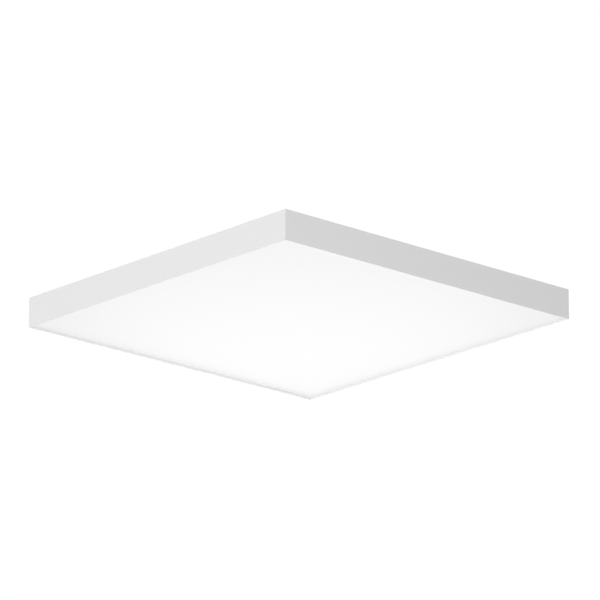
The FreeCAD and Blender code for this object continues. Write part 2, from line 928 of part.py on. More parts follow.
def reflector_sheet():
    """The white sheet under the strips, cut out for lenses, screws, connectors and leads."""
    body = new_piece("reflector_sheet")
    edge = half - size.ledge_width - size.reflector_clearance
    plate = sketch_on(body, "XY_Plane", reflector_bottom)
    add_rectangle(plate, (-edge, -edge), (edge, edge))
    pad(body, plate, size.reflector_thickness)
    holes = sketch_on(body, "XY_Plane", board_bottom)
    for spot in led_spots():
        add_circle(holes, spot, size.lens_radius + size.lens_clearance)
    for strip in range(STRIP_COUNT):
        for spot in strip_screw_spots(strip):
            add_circle(holes, spot, size.strip_screw_radius + size.screw_clearance)
    clearance = 2 * size.lens_clearance
    length = size.board_gap + 2 * size.connector_bite + clearance
    middle = strip_right + size.board_gap / 2
    for strip in range(STRIP_COUNT):
        add_centred_rectangle(holes, (middle, strip_level(strip)), length, size.connector_width + clearance)
    length = size.link_width - 2 * size.lead_connector_inset + clearance
    width = size.lead_connector_width + clearance
    add_centred_rectangle(holes, (link_middle, bush_across), length, width)
    bush_edge = bush_hole + size.bush_flange + size.lens_clearance
    add_circle(holes, (bush_along, bush_across), bush_edge)
    pocket(body, holes, size.reflector_thickness)


def diffuser():
    """The opal tray: a flat light face, four upright walls and the inner rib that the clips hold."""
    body = new_piece("diffuser")
    outer = half - size.wall - size.diffuser_gap
    inner = outer - size.diffuser_wall
    rib = inner - size.rib_reach
    rim = ledge_bottom - size.diffuser_seat
    rib_top = rib_bottom + size.rib_height
    block = sketch_on(body, "XY_Plane", diffuser_bottom)
    add_rectangle(block, (-outer, -outer), (outer, outer))
    pad(body, block, rim - diffuser_bottom)
    middle = sketch_on(body, "XY_Plane", rim)
    add_rectangle(middle, (-rib, -rib), (rib, rib))
    pocket(body, middle, rim - diffuser_floor)
    above = sketch_on(body, "XY_Plane", rim)
    add_rectangle(above, (-inner, -inner), (inner, inner))
    pocket(body, above, rim - rib_top)
    below = sketch_on(body, "XY_Plane", rib_bottom)
    add_rectangle(below, (-inner, -inner), (inner, inner))
    pocket(body, below, rib_bottom - diffuser_floor)


# Ceiling bracket


def rail(side, spin):
    """A U-shaped rail under the ceiling, with two fixing slots and a turned-down tab at each end."""
    body = new_piece(f"rail_{side}")
    middle = -size.rail_spacing / 2
    left = middle - size.rail_width / 2
    right = middle + size.rail_width / 2
    bottom = -size.rail_height
    points = [
        (left, bottom),
        (left, ZERO),
        (right, ZERO),
        (right, bottom),
        (right - size.sheet, bottom),
        (right - size.sheet, -size.sheet),
        (left + size.sheet, -size.sheet),
        (left + size.sheet, bottom),
    ]
    section = sketch_on(body, "XZ_Plane")
    add_outline(section, points)
    end = half - tab_reach
    pad(body, section, 2 * end, both_ways=True)
    tabs = sketch_on(body, "XY_Plane", catch_bottom)
    width = size.rail_width - 2 * size.sheet - 2 * size.tab_relief
    for way in (-1, 1):
        add_centred_rectangle(tabs, (middle, way * (end - size.sheet / 2)), width, size.sheet)
    pad(body, tabs, -catch_bottom)
    slots = sketch_on(body, "XY_Plane")
    for way in (-1, 1):
        add_slot(slots, (middle, way * size.slot_spacing / 2), size.slot_run, size.slot_radius)
    pocket(body, slots, size.sheet)
    rivet_hole = size.rivet_radius + size.thread_clearance
    bridge_holes = sketch_on(body, "YZ_Plane", right)
    catch_holes = sketch_on(body, "XZ_Plane")
    for way in (-1, 1):
        add_circle(bridge_holes, (way * size.bridge_rivet_spacing / 2, bridge_rivet_level), rivet_hole)
        spot = (middle + way * size.catch_rivet_spacing / 2, catch_rivet_level())
        add_circle(catch_holes, spot, rivet_hole)
    pocket(body, bridge_holes, size.sheet)
    pocket_through(body, catch_holes)
    body.Placement = FreeCAD.Placement(FreeCAD.Vector(), FreeCAD.Rotation(UP, spin))


def catch_rivet_level():
    return catch_bottom + catch_foot / 2


def bridge_plate():
    """The folded plate between the rails, with the cable hole in its middle."""
    body = new_piece("bridge_plate")
    end = bridge_end
    points = [
        (-end, bridge_bottom),
        (-end, bridge_top),
        (end, bridge_top),
        (end, bridge_bottom),
        (end - size.sheet, bridge_bottom),
        (end - size.sheet, bridge_top - size.sheet),
        (size.sheet - end, bridge_top - size.sheet),
        (size.sheet - end, bridge_bottom),
    ]
    section = sketch_on(body, "XZ_Plane")
    add_outline(section, points)
    pad(body, section, size.bridge_width, both_ways=True)
    hole = sketch_on(body, "XY_Plane", bridge_top)
    add_circle(hole, (ZERO, ZERO), grommet_bore + size.grommet_wall + size.rubber_clearance)
    pocket(body, hole, size.sheet)
    rivet_holes = sketch_on(body, "YZ_Plane")
    for way in (-1, 1):
        spot = (way * size.bridge_rivet_spacing / 2, bridge_rivet_level)
        add_circle(rivet_holes, spot, size.rivet_radius + size.thread_clearance)
    pocket_through(body, rivet_holes)


def bridge_rivets():
    master = rivet_body("bridge_rivet_pattern", 2 * size.sheet)
    start = -bridge_end - size.sheet
    places = []
    for spin in (0, 180):
        for way in (-1, 1):
            across = way * size.bridge_rivet_spacing / 2
            places.append(place(start, across, bridge_rivet_level, ALONG_X, spin))
    new_group("bridge_rivets", copies(master, places))


def grooved_ring(label, bore, groove, flange, sheet_bottom, sheet_thickness, flange_thickness):
    """A rubber ring that grips a sheet in the groove round its outside."""
    body = new_piece(label)
    sheet_top = sheet_bottom + sheet_thickness
    points = [
        (bore, sheet_bottom - flange_thickness),
        (flange, sheet_bottom - flange_thickness),
        (flange, sheet_bottom),
        (groove, sheet_bottom),
        (groove, sheet_top),
        (flange, sheet_top),
        (flange, sheet_top + flange_thickness),
        (bore, sheet_top + flange_thickness),
    ]
    turn(body, points)
    return body


def cable_grommet():
    groove = grommet_bore + size.grommet_wall
    flange = groove + size.grommet_flange
    sheet_bottom = bridge_top - size.sheet
    thickness = size.grommet_flange_thickness
    grooved_ring("cable_grommet", grommet_bore, groove, flange, sheet_bottom, size.sheet, thickness)


def wire_bush():
    bore = size.bush_bore
    groove = bush_hole - size.rubber_clearance
    flange = groove + size.bush_flange
    thickness = size.bush_flange_thickness
    body = grooved_ring("wire_bush", bore, groove, flange, ledge_top, size.panel_thickness, thickness)
    stand_at(body, bush_along, bush_across, ZERO)


def catch_spring(name, side, spin):
    """A leaf spring on a rail's end tab, bent out to a hump under the frame's top lip."""
    body = new_piece(f"catch_spring_{name}")
    thickness = size.spring_thickness
    foot = tab_reach - thickness
    apex = hook_edge - size.catch_bite
    tip = hook_edge + size.catch_flare
    tip_level = lip_bottom + size.catch_rise
    points = [
        (foot, catch_bottom),
        (foot, catch_foot_top),
        (apex, catch_apex),
        (tip, tip_level),
        (tip + thickness, tip_level),
        (apex + thickness, catch_apex),
        (tab_reach, catch_foot_top),
        (tab_reach, catch_bottom),
    ]
    section = sketch_on(body, "YZ_Plane", side * size.rail_spacing / 2)
    add_outline(section, [(reach - half, level) for reach, level in points])
    pad(body, section, size.catch_width, both_ways=True)
    holes = sketch_on(body, "XZ_Plane")
    for way in (-1, 1):
        spot = (side * size.rail_spacing / 2 + way * size.catch_rivet_spacing / 2, catch_rivet_level())
        add_circle(holes, spot, size.rivet_radius + size.thread_clearance)
    pocket_through(body, holes)
    body.Placement = FreeCAD.Placement(FreeCAD.Vector(), FreeCAD.Rotation(UP, spin))


def catch_rivets():
    master = rivet_body("catch_rivet_pattern", size.spring_thickness + size.sheet)
    start = tab_reach - size.spring_thickness - half
    places = []
    for spin in (0, 180):
        for side in (-1, 1):
            for way in (-1, 1):
                along = side * size.rail_spacing / 2 + way * size.catch_rivet_spacing / 2
                places.append(place(along, start, catch_rivet_level(), ALONG_Y, spin))
    new_group("catch_rivets", copies(master, places))


# Driver. Its pieces are drawn about the middle of its underside and stood on the back panel.


def driver_piece(label):
    body = new_piece(label)
    stand_at(body, ZERO, driver_across, panel_top)
    return body


def driver_board_half():
    """Half the circuit board's length and half its width."""
    length = size.driver_length / 2 - size.terminal_length - 2 * size.driver_board_gap
    width = driver_rib_face() - size.driver_rib - size.driver_board_gap
    return length, width


def driver_rib_face():
    return size.driver_width / 2 - size.cover_wall - size.cover_fit


def selector_along():
    """The selector sits near the circuit board's right end."""
    return driver_board_half()[0] - size.selector_end


def driver_base():
    """The floor with its screw ears, two long ribs inside the cover and four board posts."""
    body = driver_piece("driver_base")
    end = size.driver_length / 2
    ear = end + size.driver_ear
    side = size.driver_width / 2
    ear_side = size.driver_ear_width / 2
    points = [
        (end, -side),
        (end, -ear_side),
        (ear, -ear_side),
        (ear, ear_side),
        (end, ear_side),
        (end, side),
        (-end, side),
        (-end, ear_side),
        (-ear, ear_side),
        (-ear, -ear_side),
        (-end, -ear_side),
        (-end, -side),
    ]
    floor = sketch_on(body, "XY_Plane")
    add_outline(floor, points)
    pad(body, floor, size.driver_floor)
    ribs = sketch_on(body, "XY_Plane", size.driver_floor)
    length = 2 * (end - size.cover_wall - size.cover_fit)
    for way in (-1, 1):
        middle = way * (driver_rib_face() - size.driver_rib / 2)
        add_centred_rectangle(ribs, (ZERO, middle), length, size.driver_rib)
    pad(body, ribs, size.driver_rib_height)
    posts = sketch_on(body, "XY_Plane", size.driver_floor)
    board_length, board_width = driver_board_half()
    for along in (-1, 1):
        for across in (-1, 1):
            spot = (along * (board_length - size.post_inset), across * (board_width - size.post_inset))
            add_circle(posts, spot, size.post_radius)
    pad(body, posts, size.post_height)
    holes = sketch_on(body, "XY_Plane", size.driver_floor)
    for way in (-1, 1):
        spot = (way * (end + size.driver_ear / 2), ZERO)
        add_circle(holes, spot, size.screw_radius + size.screw_clearance)
    pocket(body, holes, size.driver_floor)


def driver_cover():
    """The rounded lid over the driver, open at the ends for the terminals and on top for the selector."""
    body = driver_piece("driver_cover")
    end = size.driver_length / 2
    side = size.driver_width / 2
    block = sketch_on(body, "XY_Plane", size.driver_floor)
    add_rectangle(block, (-end, -side), (end, side))
    lid = pad(body, block, driver_height - size.driver_floor)

    def is_above_base(middle):
        return middle.z > size.driver_floor.value + size.cover_radius.value

    round_edges(body, lid, size.cover_radius, is_above_base)
    cavity = sketch_on(body, "XY_Plane", driver_height - size.cover_wall)
    inner = (end - size.cover_wall, side - size.cover_wall)
    add_rectangle(cavity, (-inner[0], -inner[1]), inner)
    pocket(body, cavity, driver_height - size.cover_wall - size.driver_floor)
    windows = sketch_on(body, "YZ_Plane")
    reach = size.terminal_width / 2 + size.cover_fit
    top = size.driver_floor + size.terminal_height + size.cover_fit
    add_rectangle(windows, (-reach, size.driver_floor), (reach, top))
    pocket_through(body, windows)
    slot = sketch_on(body, "XY_Plane", driver_height)
    length = size.slider_length + 2 * size.slider_travel + 2 * size.slider_clearance
    width = size.slider_width + 2 * size.slider_clearance
    add_centred_rectangle(slot, (selector_along(), ZERO), length, width)
    pocket(body, slot, size.cover_wall)


def driver_board():
    body = driver_piece("driver_board")
    length, width = driver_board_half()
    board = sketch_on(body, "XY_Plane", driver_board_level)
    add_rectangle(board, (-length, -width), (length, width))
    pad(body, board, size.driver_board_thickness)


def driver_transformer():
    """A ferrite core with its winding standing out on two sides."""
    body = driver_piece("driver_transformer")
    core = sketch_on(body, "XY_Plane", driver_deck)
    add_centred_rectangle(core, (ZERO, ZERO), size.transformer_length, size.transformer_width)
    pad(body, core, driver_room - size.transformer_headroom)
    coil = sketch_on(body, "XY_Plane", driver_deck)
    width = size.transformer_width + 2 * size.coil_overhang
    add_centred_rectangle(coil, (ZERO, ZERO), size.coil_length, width)
    pad(body, coil, size.coil_height)


def driver_capacitors():
    master = new_body("capacitor_pattern")
    bevel = size.capacitor_bevel
    height = driver_room - size.capacitor_headroom
    points = [
        (ZERO, ZERO),
        (size.capacitor_radius, ZERO),
        (size.capacitor_radius, height - bevel),
        (size.capacitor_radius - bevel, height),
        (ZERO, height),
    ]
    turn(master, points)
    places = []
    for way in (-1, 1):
        across = driver_across + way * size.capacitor_spacing / 2
        places.append(place(-size.capacitor_along, across, panel_top + driver_deck))
    new_group("driver_capacitors", copies(master, places))


def driver_terminals():
    """Push-in terminals that fill the windows at the driver's two ends."""
    master = new_body("driver_terminal_pattern")
    outer = size.driver_length / 2 + size.terminal_proud
    block = sketch_on(master, "XY_Plane", size.driver_floor)
    reach = size.terminal_width / 2
    add_rectangle(block, (outer - size.terminal_length, -reach), (outer, reach))
    pad(master, block, size.terminal_height)
    entries = sketch_on(master, "YZ_Plane", outer)
    for way in (-1, 1):
        add_circle(entries, (way * size.lead_pitch / 2, size.lead_height), lead_bore)
    pocket(master, entries, size.lead_grip)
    places = []
    for turned in (0, 180):
        rotation = FreeCAD.Rotation(UP, turned)
        places.append(place(0, driver_across, panel_top, rotation))
    new_group("driver_terminals", copies(master, places))


def selector_switch():
    """The fixed body of the colour-temperature switch, under the slot in the cover."""
    body = driver_piece("selector_switch")
    block = sketch_on(body, "XY_Plane", driver_deck)
    add_centred_rectangle(block, (selector_along(), ZERO), size.selector_length, size.selector_width)
    pad(body, block, selector_height)


def selector_slider():
    """The thumb slider: a foot on the switch and a stem up through the slot."""
    body = driver_piece("selector_slider")
    bottom = driver_deck + selector_height + size.slider_clearance
    top = driver_height + size.slider_rise
    foot = sketch_on(body, "XY_Plane", bottom)
    edge = 2 * size.slider_foot_edge
    centre = (selector_along(), ZERO)
    add_centred_rectangle(foot, centre, size.slider_length + edge, size.slider_width + edge)
    pad(body, foot, size.slider_foot)
    stem = sketch_on(body, "XY_Plane", bottom)
    add_centred_rectangle(stem, centre, size.slider_length, size.slider_width)
    pad(body, stem, top - bottom)


# Mains terminal block, cable clamp and earth point


def block_piece(label):
    body = new_piece(label)
    stand_at(body, ZERO, size.block_across, panel_top)
    return body


def pole_along(pole):
    return (pole - (len(POLES) - 1) / 2) * size.pole_pitch


def terminal_block():
    """A three-pole push-in block with screw ears, a button well and a through bore for each pole."""
    body = block_piece("terminal_block")
    base = sketch_on(body, "XY_Plane")
    add_centred_rectangle(base, (ZERO, ZERO), size.block_width + 2 * size.block_ear, size.block_length)
    pad(body, base, size.block_ear_height)
    tower = sketch_on(body, "XY_Plane")
    add_centred_rectangle(tower, (ZERO, ZERO), size.block_width, size.block_length)
    pad(body, tower, block_height)
    wells = sketch_on(body, "XY_Plane", block_height)
    bores = sketch_on(body, "XZ_Plane")
    fit = 2 * size.button_clearance
    for pole in range(len(POLES)):
        spot = (pole_along(pole), ZERO)
        add_centred_rectangle(wells, spot, size.button_width + fit, size.button_length + fit)
        add_circle(bores, (pole_along(pole), size.lead_height), contact_bore)
    pocket(body, wells, button_well)
    pocket_through(body, bores)
    holes = sketch_on(body, "XY_Plane", size.block_ear_height)
    for way in (-1, 1):
        spot = (way * (size.block_width / 2 + size.block_ear / 2), ZERO)
        add_circle(holes, spot, size.screw_radius + size.screw_clearance)
    pocket(body, holes, size.block_ear_height)


def terminal_button(pole, name):
    """A release button that stands proud of its well and presses down."""
    body = block_piece(f"terminal_button_{name}")
    bottom = block_height + size.button_rise - size.button_height
    button = sketch_on(body, "XY_Plane", bottom)
    add_centred_rectangle(button, (pole_along(pole), ZERO), size.button_width, size.button_length)
    pad(body, button, size.button_height)


def terminal_contacts():
    """Brass sleeves in the middle of the block's bores."""
    master = new_body("contact_pattern")
    outer = lead_bore + size.contact_wall
    reach = size.contact_length / 2
    turn(master, [(lead_bore, -reach), (outer, -reach), (outer, reach), (lead_bore, reach)])
    level = panel_top + size.lead_height
    places = [place(pole_along(pole), size.block_across, level, ALONG_Y) for pole in range(len(POLES))]
    new_group("terminal_contacts", copies(master, places))


def cable_clamp():
    """A saddle screwed down over the mains cable."""
    body = new_piece("cable_clamp")
    stand_at(body, ZERO, size.clamp_across, panel_top)
    shoulder = clamp_room + size.clamp_wall
    ear = shoulder + size.clamp_ear
    top = 2 * clamp_room + size.clamp_wall
    points = [
        (-ear, ZERO),
        (ear, ZERO),
        (ear, size.clamp_ear_height),
        (shoulder, size.clamp_ear_height),
        (shoulder, top),
        (-shoulder, top),
        (-shoulder, size.clamp_ear_height),
        (-ear, size.clamp_ear_height),
    ]
    section = sketch_on(body, "XZ_Plane")
    add_outline(section, points)
    pad(body, section, size.clamp_length, both_ways=True)
    arch = sketch_on(body, "XZ_Plane")
    add_circle(arch, (ZERO, clamp_room), clamp_room)
    pocket_through(body, arch)
    throat = sketch_on(body, "XZ_Plane")
    add_rectangle(throat, (-clamp_room, ZERO), (clamp_room, clamp_room))
    pocket_through(body, throat)
    holes = sketch_on(body, "XY_Plane", size.clamp_ear_height)
    for way in (-1, 1):
        spot = (way * (shoulder + size.clamp_ear / 2), ZERO)
        add_circle(holes, spot, size.screw_radius + size.screw_clearance)
    pocket(body, holes, size.clamp_ear_height)


def gear_screws():
    """The screws of the driver, terminal block and clamp, each as long as its own ear needs."""
    solids = []
    for along, across, ear in gear_screw_spots():
        length = ear + size.panel_thickness - size.tip_cover
        master = screw_body(
            "gear_screw_pattern", size.screw_radius, length, size.screw_head_radius, size.screw_head_height
        )
        solids += copies(master, [place(along, across, panel_top + ear)])
    new_group("gear_screws", solids)


def earth_lug():
    """A ring lug under the earth screw, with a crimp barrel for the earth lead."""
    body = new_piece("earth_lug")
    stand_at(body, size.earth_along, earth_across, panel_top)
    ring = sketch_on(body, "XY_Plane")
    add_circle(ring, (ZERO, ZERO), size.lug_radius)
    pad(body, ring, size.lug_thickness)
    tongue = sketch_on(body, "XY_Plane")
    barrel = lead_bore + size.lug_barrel_wall
    add_rectangle(tongue, (-barrel, -size.lug_tongue), (barrel, ZERO))
    pad(body, tongue, size.lug_thickness)
    tube = sketch_on(body, "XZ_Plane", size.lug_tongue - size.lug_barrel_length)
    add_circle(tube, (ZERO, barrel), barrel)
    pad(body, tube, size.lug_barrel_length)
    bore = sketch_on(body, "XZ_Plane", size.lug_tongue)
    add_circle(bore, (ZERO, barrel), lead_bore)
    pocket(body, bore, size.lug_barrel_length)
    hole = sketch_on(body, "XY_Plane", size.lug_thickness)
    add_circle(hole, (ZERO, ZERO), size.screw_radius + size.screw_clearance)
    pocket(body, hole, size.lug_thickness)


def earth_screw():
    length = size.lug_thickness + size.panel_thickness - size.tip_cover
    master = screw_body(
        "earth_screw_pattern", size.screw_radius, length, size.screw_head_radius, size.screw_head_height
    )
    spot = place(size.earth_along, earth_across, panel_top + size.lug_thickness)
    new_group("earth_screw", copies(master, [spot]))


# Leads


def lead_path(points, bends):
    """Straight runs through the points, joined by arcs of the given bend radii."""
    edges = []
    start = points[0]
    for corner, following, bend in zip(points[1:-1], points[2:], bends):
        arriving = (corner - start).normalize()
        leaving = (following - corner).normalize()
        opening = math.acos(max(-1.0, min(1.0, arriving.dot(leaving))))
        setback = bend * math.tan(opening / 2)
        first = corner - arriving * setback
        last = corner + leaving * setback
        inward = (leaving - arriving).normalize()
        middle = corner + inward * (bend / math.cos(opening / 2) - bend)
        edges.append(Part.LineSegment(start, first).toShape())
        edges.append(Part.Arc(first, middle, last).toShape())
        start = last
    edges.append(Part.LineSegment(start, points[-1]).toShape())
    return Part.Wire(edges)


def lead(label, route, bends):
    """A round lead swept along its route; its points are lengths."""
    points = [FreeCAD.Vector(*[as_length(value).value for value in point]) for point in route]
    path = lead_path(points, [bend.value for bend in bends])
    ring = Part.Circle(points[0], points[1] - points[0], size.lead_radius.value)
    feature = doc.addObject("Part::Feature", label)
    feature.Label = label
    feature.Shape = path.makePipeShell([Part.Wire([ring.toShape()])], True, False)
    pieces.append(feature)


def mains_leads():
    """Live and neutral run side by side from the block round to the driver's left end."""
    level = panel_top + size.lead_height
    start = size.block_across - size.contact_length / 2 - size.lead_clearance
    driver_end = -size.driver_length / 2 - size.terminal_proud + size.lead_grip - size.lead_clearance
    inner_along = mains_pair_along() + size.lead_pitch / 2
    outer_along = inner_along - size.lead_pitch
    near_turn = size.block_across - size.block_length / 2 - 2 * size.lead_bend
    bends = [size.lead_bend] * 3
    live = pole_along(0)
    low = driver_across - size.lead_pitch / 2
    route = [
        (live, start, level),
        (live, near_turn, level),
        (inner_along, near_turn, level),
        (inner_along, low, level),
        (driver_end, low, level),
    ]
    lead("live_lead", route, bends)
    neutral = pole_along(1)
    far_turn = near_turn - size.lead_pitch
    high = driver_across + size.lead_pitch / 2
    route = [
        (neutral, start, level),
        (neutral, far_turn, level),
        (outer_along, far_turn, level),
        (outer_along, high, level),
        (driver_end, high, level),
    ]
    lead("neutral_lead", route, bends)


def mains_pair_along():
    """The middle between the live and neutral leads, beside the driver's left ear."""
    ear = size.driver_length / 2 + size.driver_ear
    return -ear - size.lead_pitch / 2 - size.lead_radius - size.lead_clearance


def earth_lead():
    """From the block's earth pole round to the lug's barrel, dropping to it on the way."""
    level = panel_top + size.lead_height
    start = size.block_across - size.contact_length / 2 - size.lead_clearance
    turn_across = size.block_across - size.block_length / 2 - 2 * size.lead_bend
    pole = pole_along(2)
    barrel_level = panel_top + lead_bore + size.lug_barrel_wall
    barrel_mouth = earth_across - size.lug_tongue
    route = [
        (pole, start, level),
        (pole, turn_across, level),
        (size.earth_along, turn_across, level),
        (size.earth_along, barrel_mouth - size.lead_bend, barrel_level),
        (size.earth_along, barrel_mouth + size.lug_barrel_length / 2, barrel_level),
    ]
    lead("earth_lead", route, [size.lead_bend, size.lead_bend, size.lead_bend])


def driver_leads():
    """Plus and minus run from the driver's right end to the bush, then down to the link board."""
    level = panel_top + size.lead_height
    lower = board_bottom - size.lead_connector_height / 2
    start = size.driver_length / 2 + size.terminal_proud - size.lead_grip + size.lead_clearance
    end = link_left + size.lead_connector_inset + size.lead_grip - size.lead_clearance
    bends = [size.lead_bend, size.lead_drop_bend, size.lead_drop_bend]
    for label, way in (("plus_lead", 1), ("minus_lead", -1)):
        run = driver_across + way * size.lead_pitch / 2
        along = bush_along + way * size.lead_spread
        across = bush_across + way * size.lead_spread
        route = [
            (start, run, level),
            (along, run, level),
            (along, across, level),
            (along, across, lower),
            (end, across, lower),
        ]
        lead(label, route, bends)


def wire_saddles():
    """Stick-on guides that hold the lead pairs a few millimetres above the back panel."""
    master = new_body("saddle_pattern")
    edge = size.lead_pitch / 2 + lead_bore + size.saddle_wall
    top = size.lead_height + lead_bore + size.saddle_wall
    section = sketch_on(master, "XZ_Plane")
    add_rectangle(section, (-edge, ZERO), (edge, top))
    pad(master, section, size.saddle_length, both_ways=True)
    bores = sketch_on(master, "XZ_Plane")
    for way in (-1, 1):
        add_circle(bores, (way * size.lead_pitch / 2, size.lead_height), lead_bore)
    pocket_through(master, bores)
    quarter = FreeCAD.Rotation(UP, 90)
    under_bridge = size.bridge_width / 2
    past_rail = size.rail_spacing / 2 + size.rail_width / 2 + size.saddle_length
    places = [
        place(mains_pair_along(), -under_bridge, panel_top),
        place(mains_pair_along(), under_bridge, panel_top),
        place(past_rail, driver_across, panel_top, quarter),
    ]
    new_group("wire_saddles", copies(master, places))


def build_all():
    """Model every piece, from the ceiling down."""
    rail("left", 0)
    rail("right", 180)
    bridge_plate()
    bridge_rivets()
    cable_grommet()
    catch_spring("front_left", -1, 0)
    catch_spring("front_right", 1, 0)
    catch_spring("back_right", -1, 180)
    catch_spring("back_left", 1, 180)
    catch_rivets()
    for side, angle in SIDES.items():
        frame_profile(side, angle)
    for corner, angle in CORNERS.items():
        corner_key(corner, angle)
    corner_grub_screws()
    back_panel()
    panel_screws()
    diffuser_clips()
    for strip in range(STRIP_COUNT):
        led_strip(strip)
    led_packages()
    led_lenses()
    strip_screws()
    link_board()
    strip_connectors()
    lead_connector()
    reflector_sheet()
    diffuser()
    driver_base()
    driver_cover()
    driver_board()
    driver_transformer()
    driver_capacitors()
    driver_terminals()
    selector_switch()
    selector_slider()
    terminal_block()
    for pole, name in enumerate(POLES):
        terminal_button(pole, name)
    terminal_contacts()
    cable_clamp()
    gear_screws()
    earth_lug()
    earth_screw()
    mains_leads()
    earth_lead()
    driver_leads()
    wire_bush()
    wire_saddles()


def export_all():
    """Check every feature, then write each piece to a file named after its label."""
    doc.recompute()
    for thing in doc.Objects:
        if "Invalid" in thing.State or "Error" in thing.State:
            raise RuntimeError(f"{thing.Label} could not be worked out: {thing.State}")
    os.makedirs("parts", exist_ok=True)
    for body in pieces:
        if body.Shape.isNull() or not body.Shape.isValid():
            raise RuntimeError(f"{body.Label} has no valid shape")
        body.Shape.exportStep(f"parts/{body.Label}.step")
    print(len(pieces), "pieces,", sum(len(body.Shape.Solids) for body in pieces), "solids")


build_all()
export_all()
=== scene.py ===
import math

import bmesh
import bpy
from mathutils import Matrix, Vector


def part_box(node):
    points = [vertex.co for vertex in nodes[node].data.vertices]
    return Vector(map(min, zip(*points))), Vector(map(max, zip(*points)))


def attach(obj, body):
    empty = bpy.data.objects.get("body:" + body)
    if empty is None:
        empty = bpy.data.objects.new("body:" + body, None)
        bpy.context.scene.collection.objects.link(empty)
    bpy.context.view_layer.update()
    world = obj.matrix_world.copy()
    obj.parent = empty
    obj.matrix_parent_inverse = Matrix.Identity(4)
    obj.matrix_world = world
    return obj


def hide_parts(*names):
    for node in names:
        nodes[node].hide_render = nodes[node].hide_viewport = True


bl_info = {
    "name": "Square Ceiling Light",
    "version": (1, 0, 0),
    "blender": (4, 5, 0),
    "location": "View3D > Sidebar > Ceiling Light",
    "description": "Finishes the packed ceiling light and sets it in a plain studio",
    "category": "Object",
}

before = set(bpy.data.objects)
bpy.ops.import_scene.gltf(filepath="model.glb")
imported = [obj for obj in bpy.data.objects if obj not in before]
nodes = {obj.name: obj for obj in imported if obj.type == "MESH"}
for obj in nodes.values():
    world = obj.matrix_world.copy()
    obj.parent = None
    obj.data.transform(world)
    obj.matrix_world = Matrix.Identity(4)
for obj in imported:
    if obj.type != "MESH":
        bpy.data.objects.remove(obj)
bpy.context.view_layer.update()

MM = 0.001
X = Vector((1, 0, 0))
Y = Vector((0, 1, 0))
SIDES = ("front", "right", "back", "left")
CORNERS = ("front_left", "front_right", "back_right", "back_left")
POLES = ("live", "neutral", "earth")
STRIPS = [f"led_strip_{place}" for place in range(1, 7)]

# Points this near are one point, faces this flat are one face, and edges bent more than the last are sharp.
JOIN_REACH = 0.001 * MM
FLAT_ANGLE = math.radians(1)
SHARP_ANGLE = math.radians(40)

# Rounded edges in millimetres: on bent strip, coated walls, small and larger mouldings, and thick pieces.
BENT_EDGE = 0.25
COATED_EDGE = 0.3
SMALL_EDGE = 0.4
MOULDED_EDGE = 0.5
THICK_EDGE = 0.6

# Noise values where a grain is darkest and lightest, and where a cloud starts and is full.
GRAIN_DARK = 0.3
GRAIN_LIGHT = 0.7
CLOUD_START = 0.4
CLOUD_FULL = 0.75

# How strongly a grain's relief tilts the surface, where 1 is its full height.
RELIEF_STRENGTH = 0.6


def linear(hex_colour):
    """An sRGB hex colour as linear red, green and blue."""
    channels = [int(hex_colour[start:start + 2], 16) / 255 for start in (1, 3, 5)]
    return [c / 12.92 if c <= 0.04045 else ((c + 0.055) / 1.055) ** 2.4 for c in channels]


def colour(name, description, hex_colour):
    """A colour that the user can change, written as an sRGB hex value."""
    return bpy.props.FloatVectorProperty(
        name=name, description=description, subtype="COLOR", size=3, min=0, max=1, default=linear(hex_colour)
    )


def number(name, description, default, **limits):
    """A number that the user can change."""
    return bpy.props.FloatProperty(name=name, description=description, default=default, **limits)


def size(name, description, millimetres):
    """A size that the user can change, given in millimetres."""
    return number(name, description, millimetres * MM, min=0, subtype="DISTANCE", unit="LENGTH")


def reach(name, description, metres):
    """A distance in the studio that the user can change, given in metres."""
    return number(name, description, metres, subtype="DISTANCE", unit="LENGTH")


def turn(name, description, degrees):
    """An angle that the user can change, given in degrees."""
    return number(name, description, math.radians(degrees), subtype="ANGLE")


def power(name, description, watts):
    """A lamp's power that the user can change."""
    return number(name, description, watts, min=0, subtype="POWER", unit="POWER")


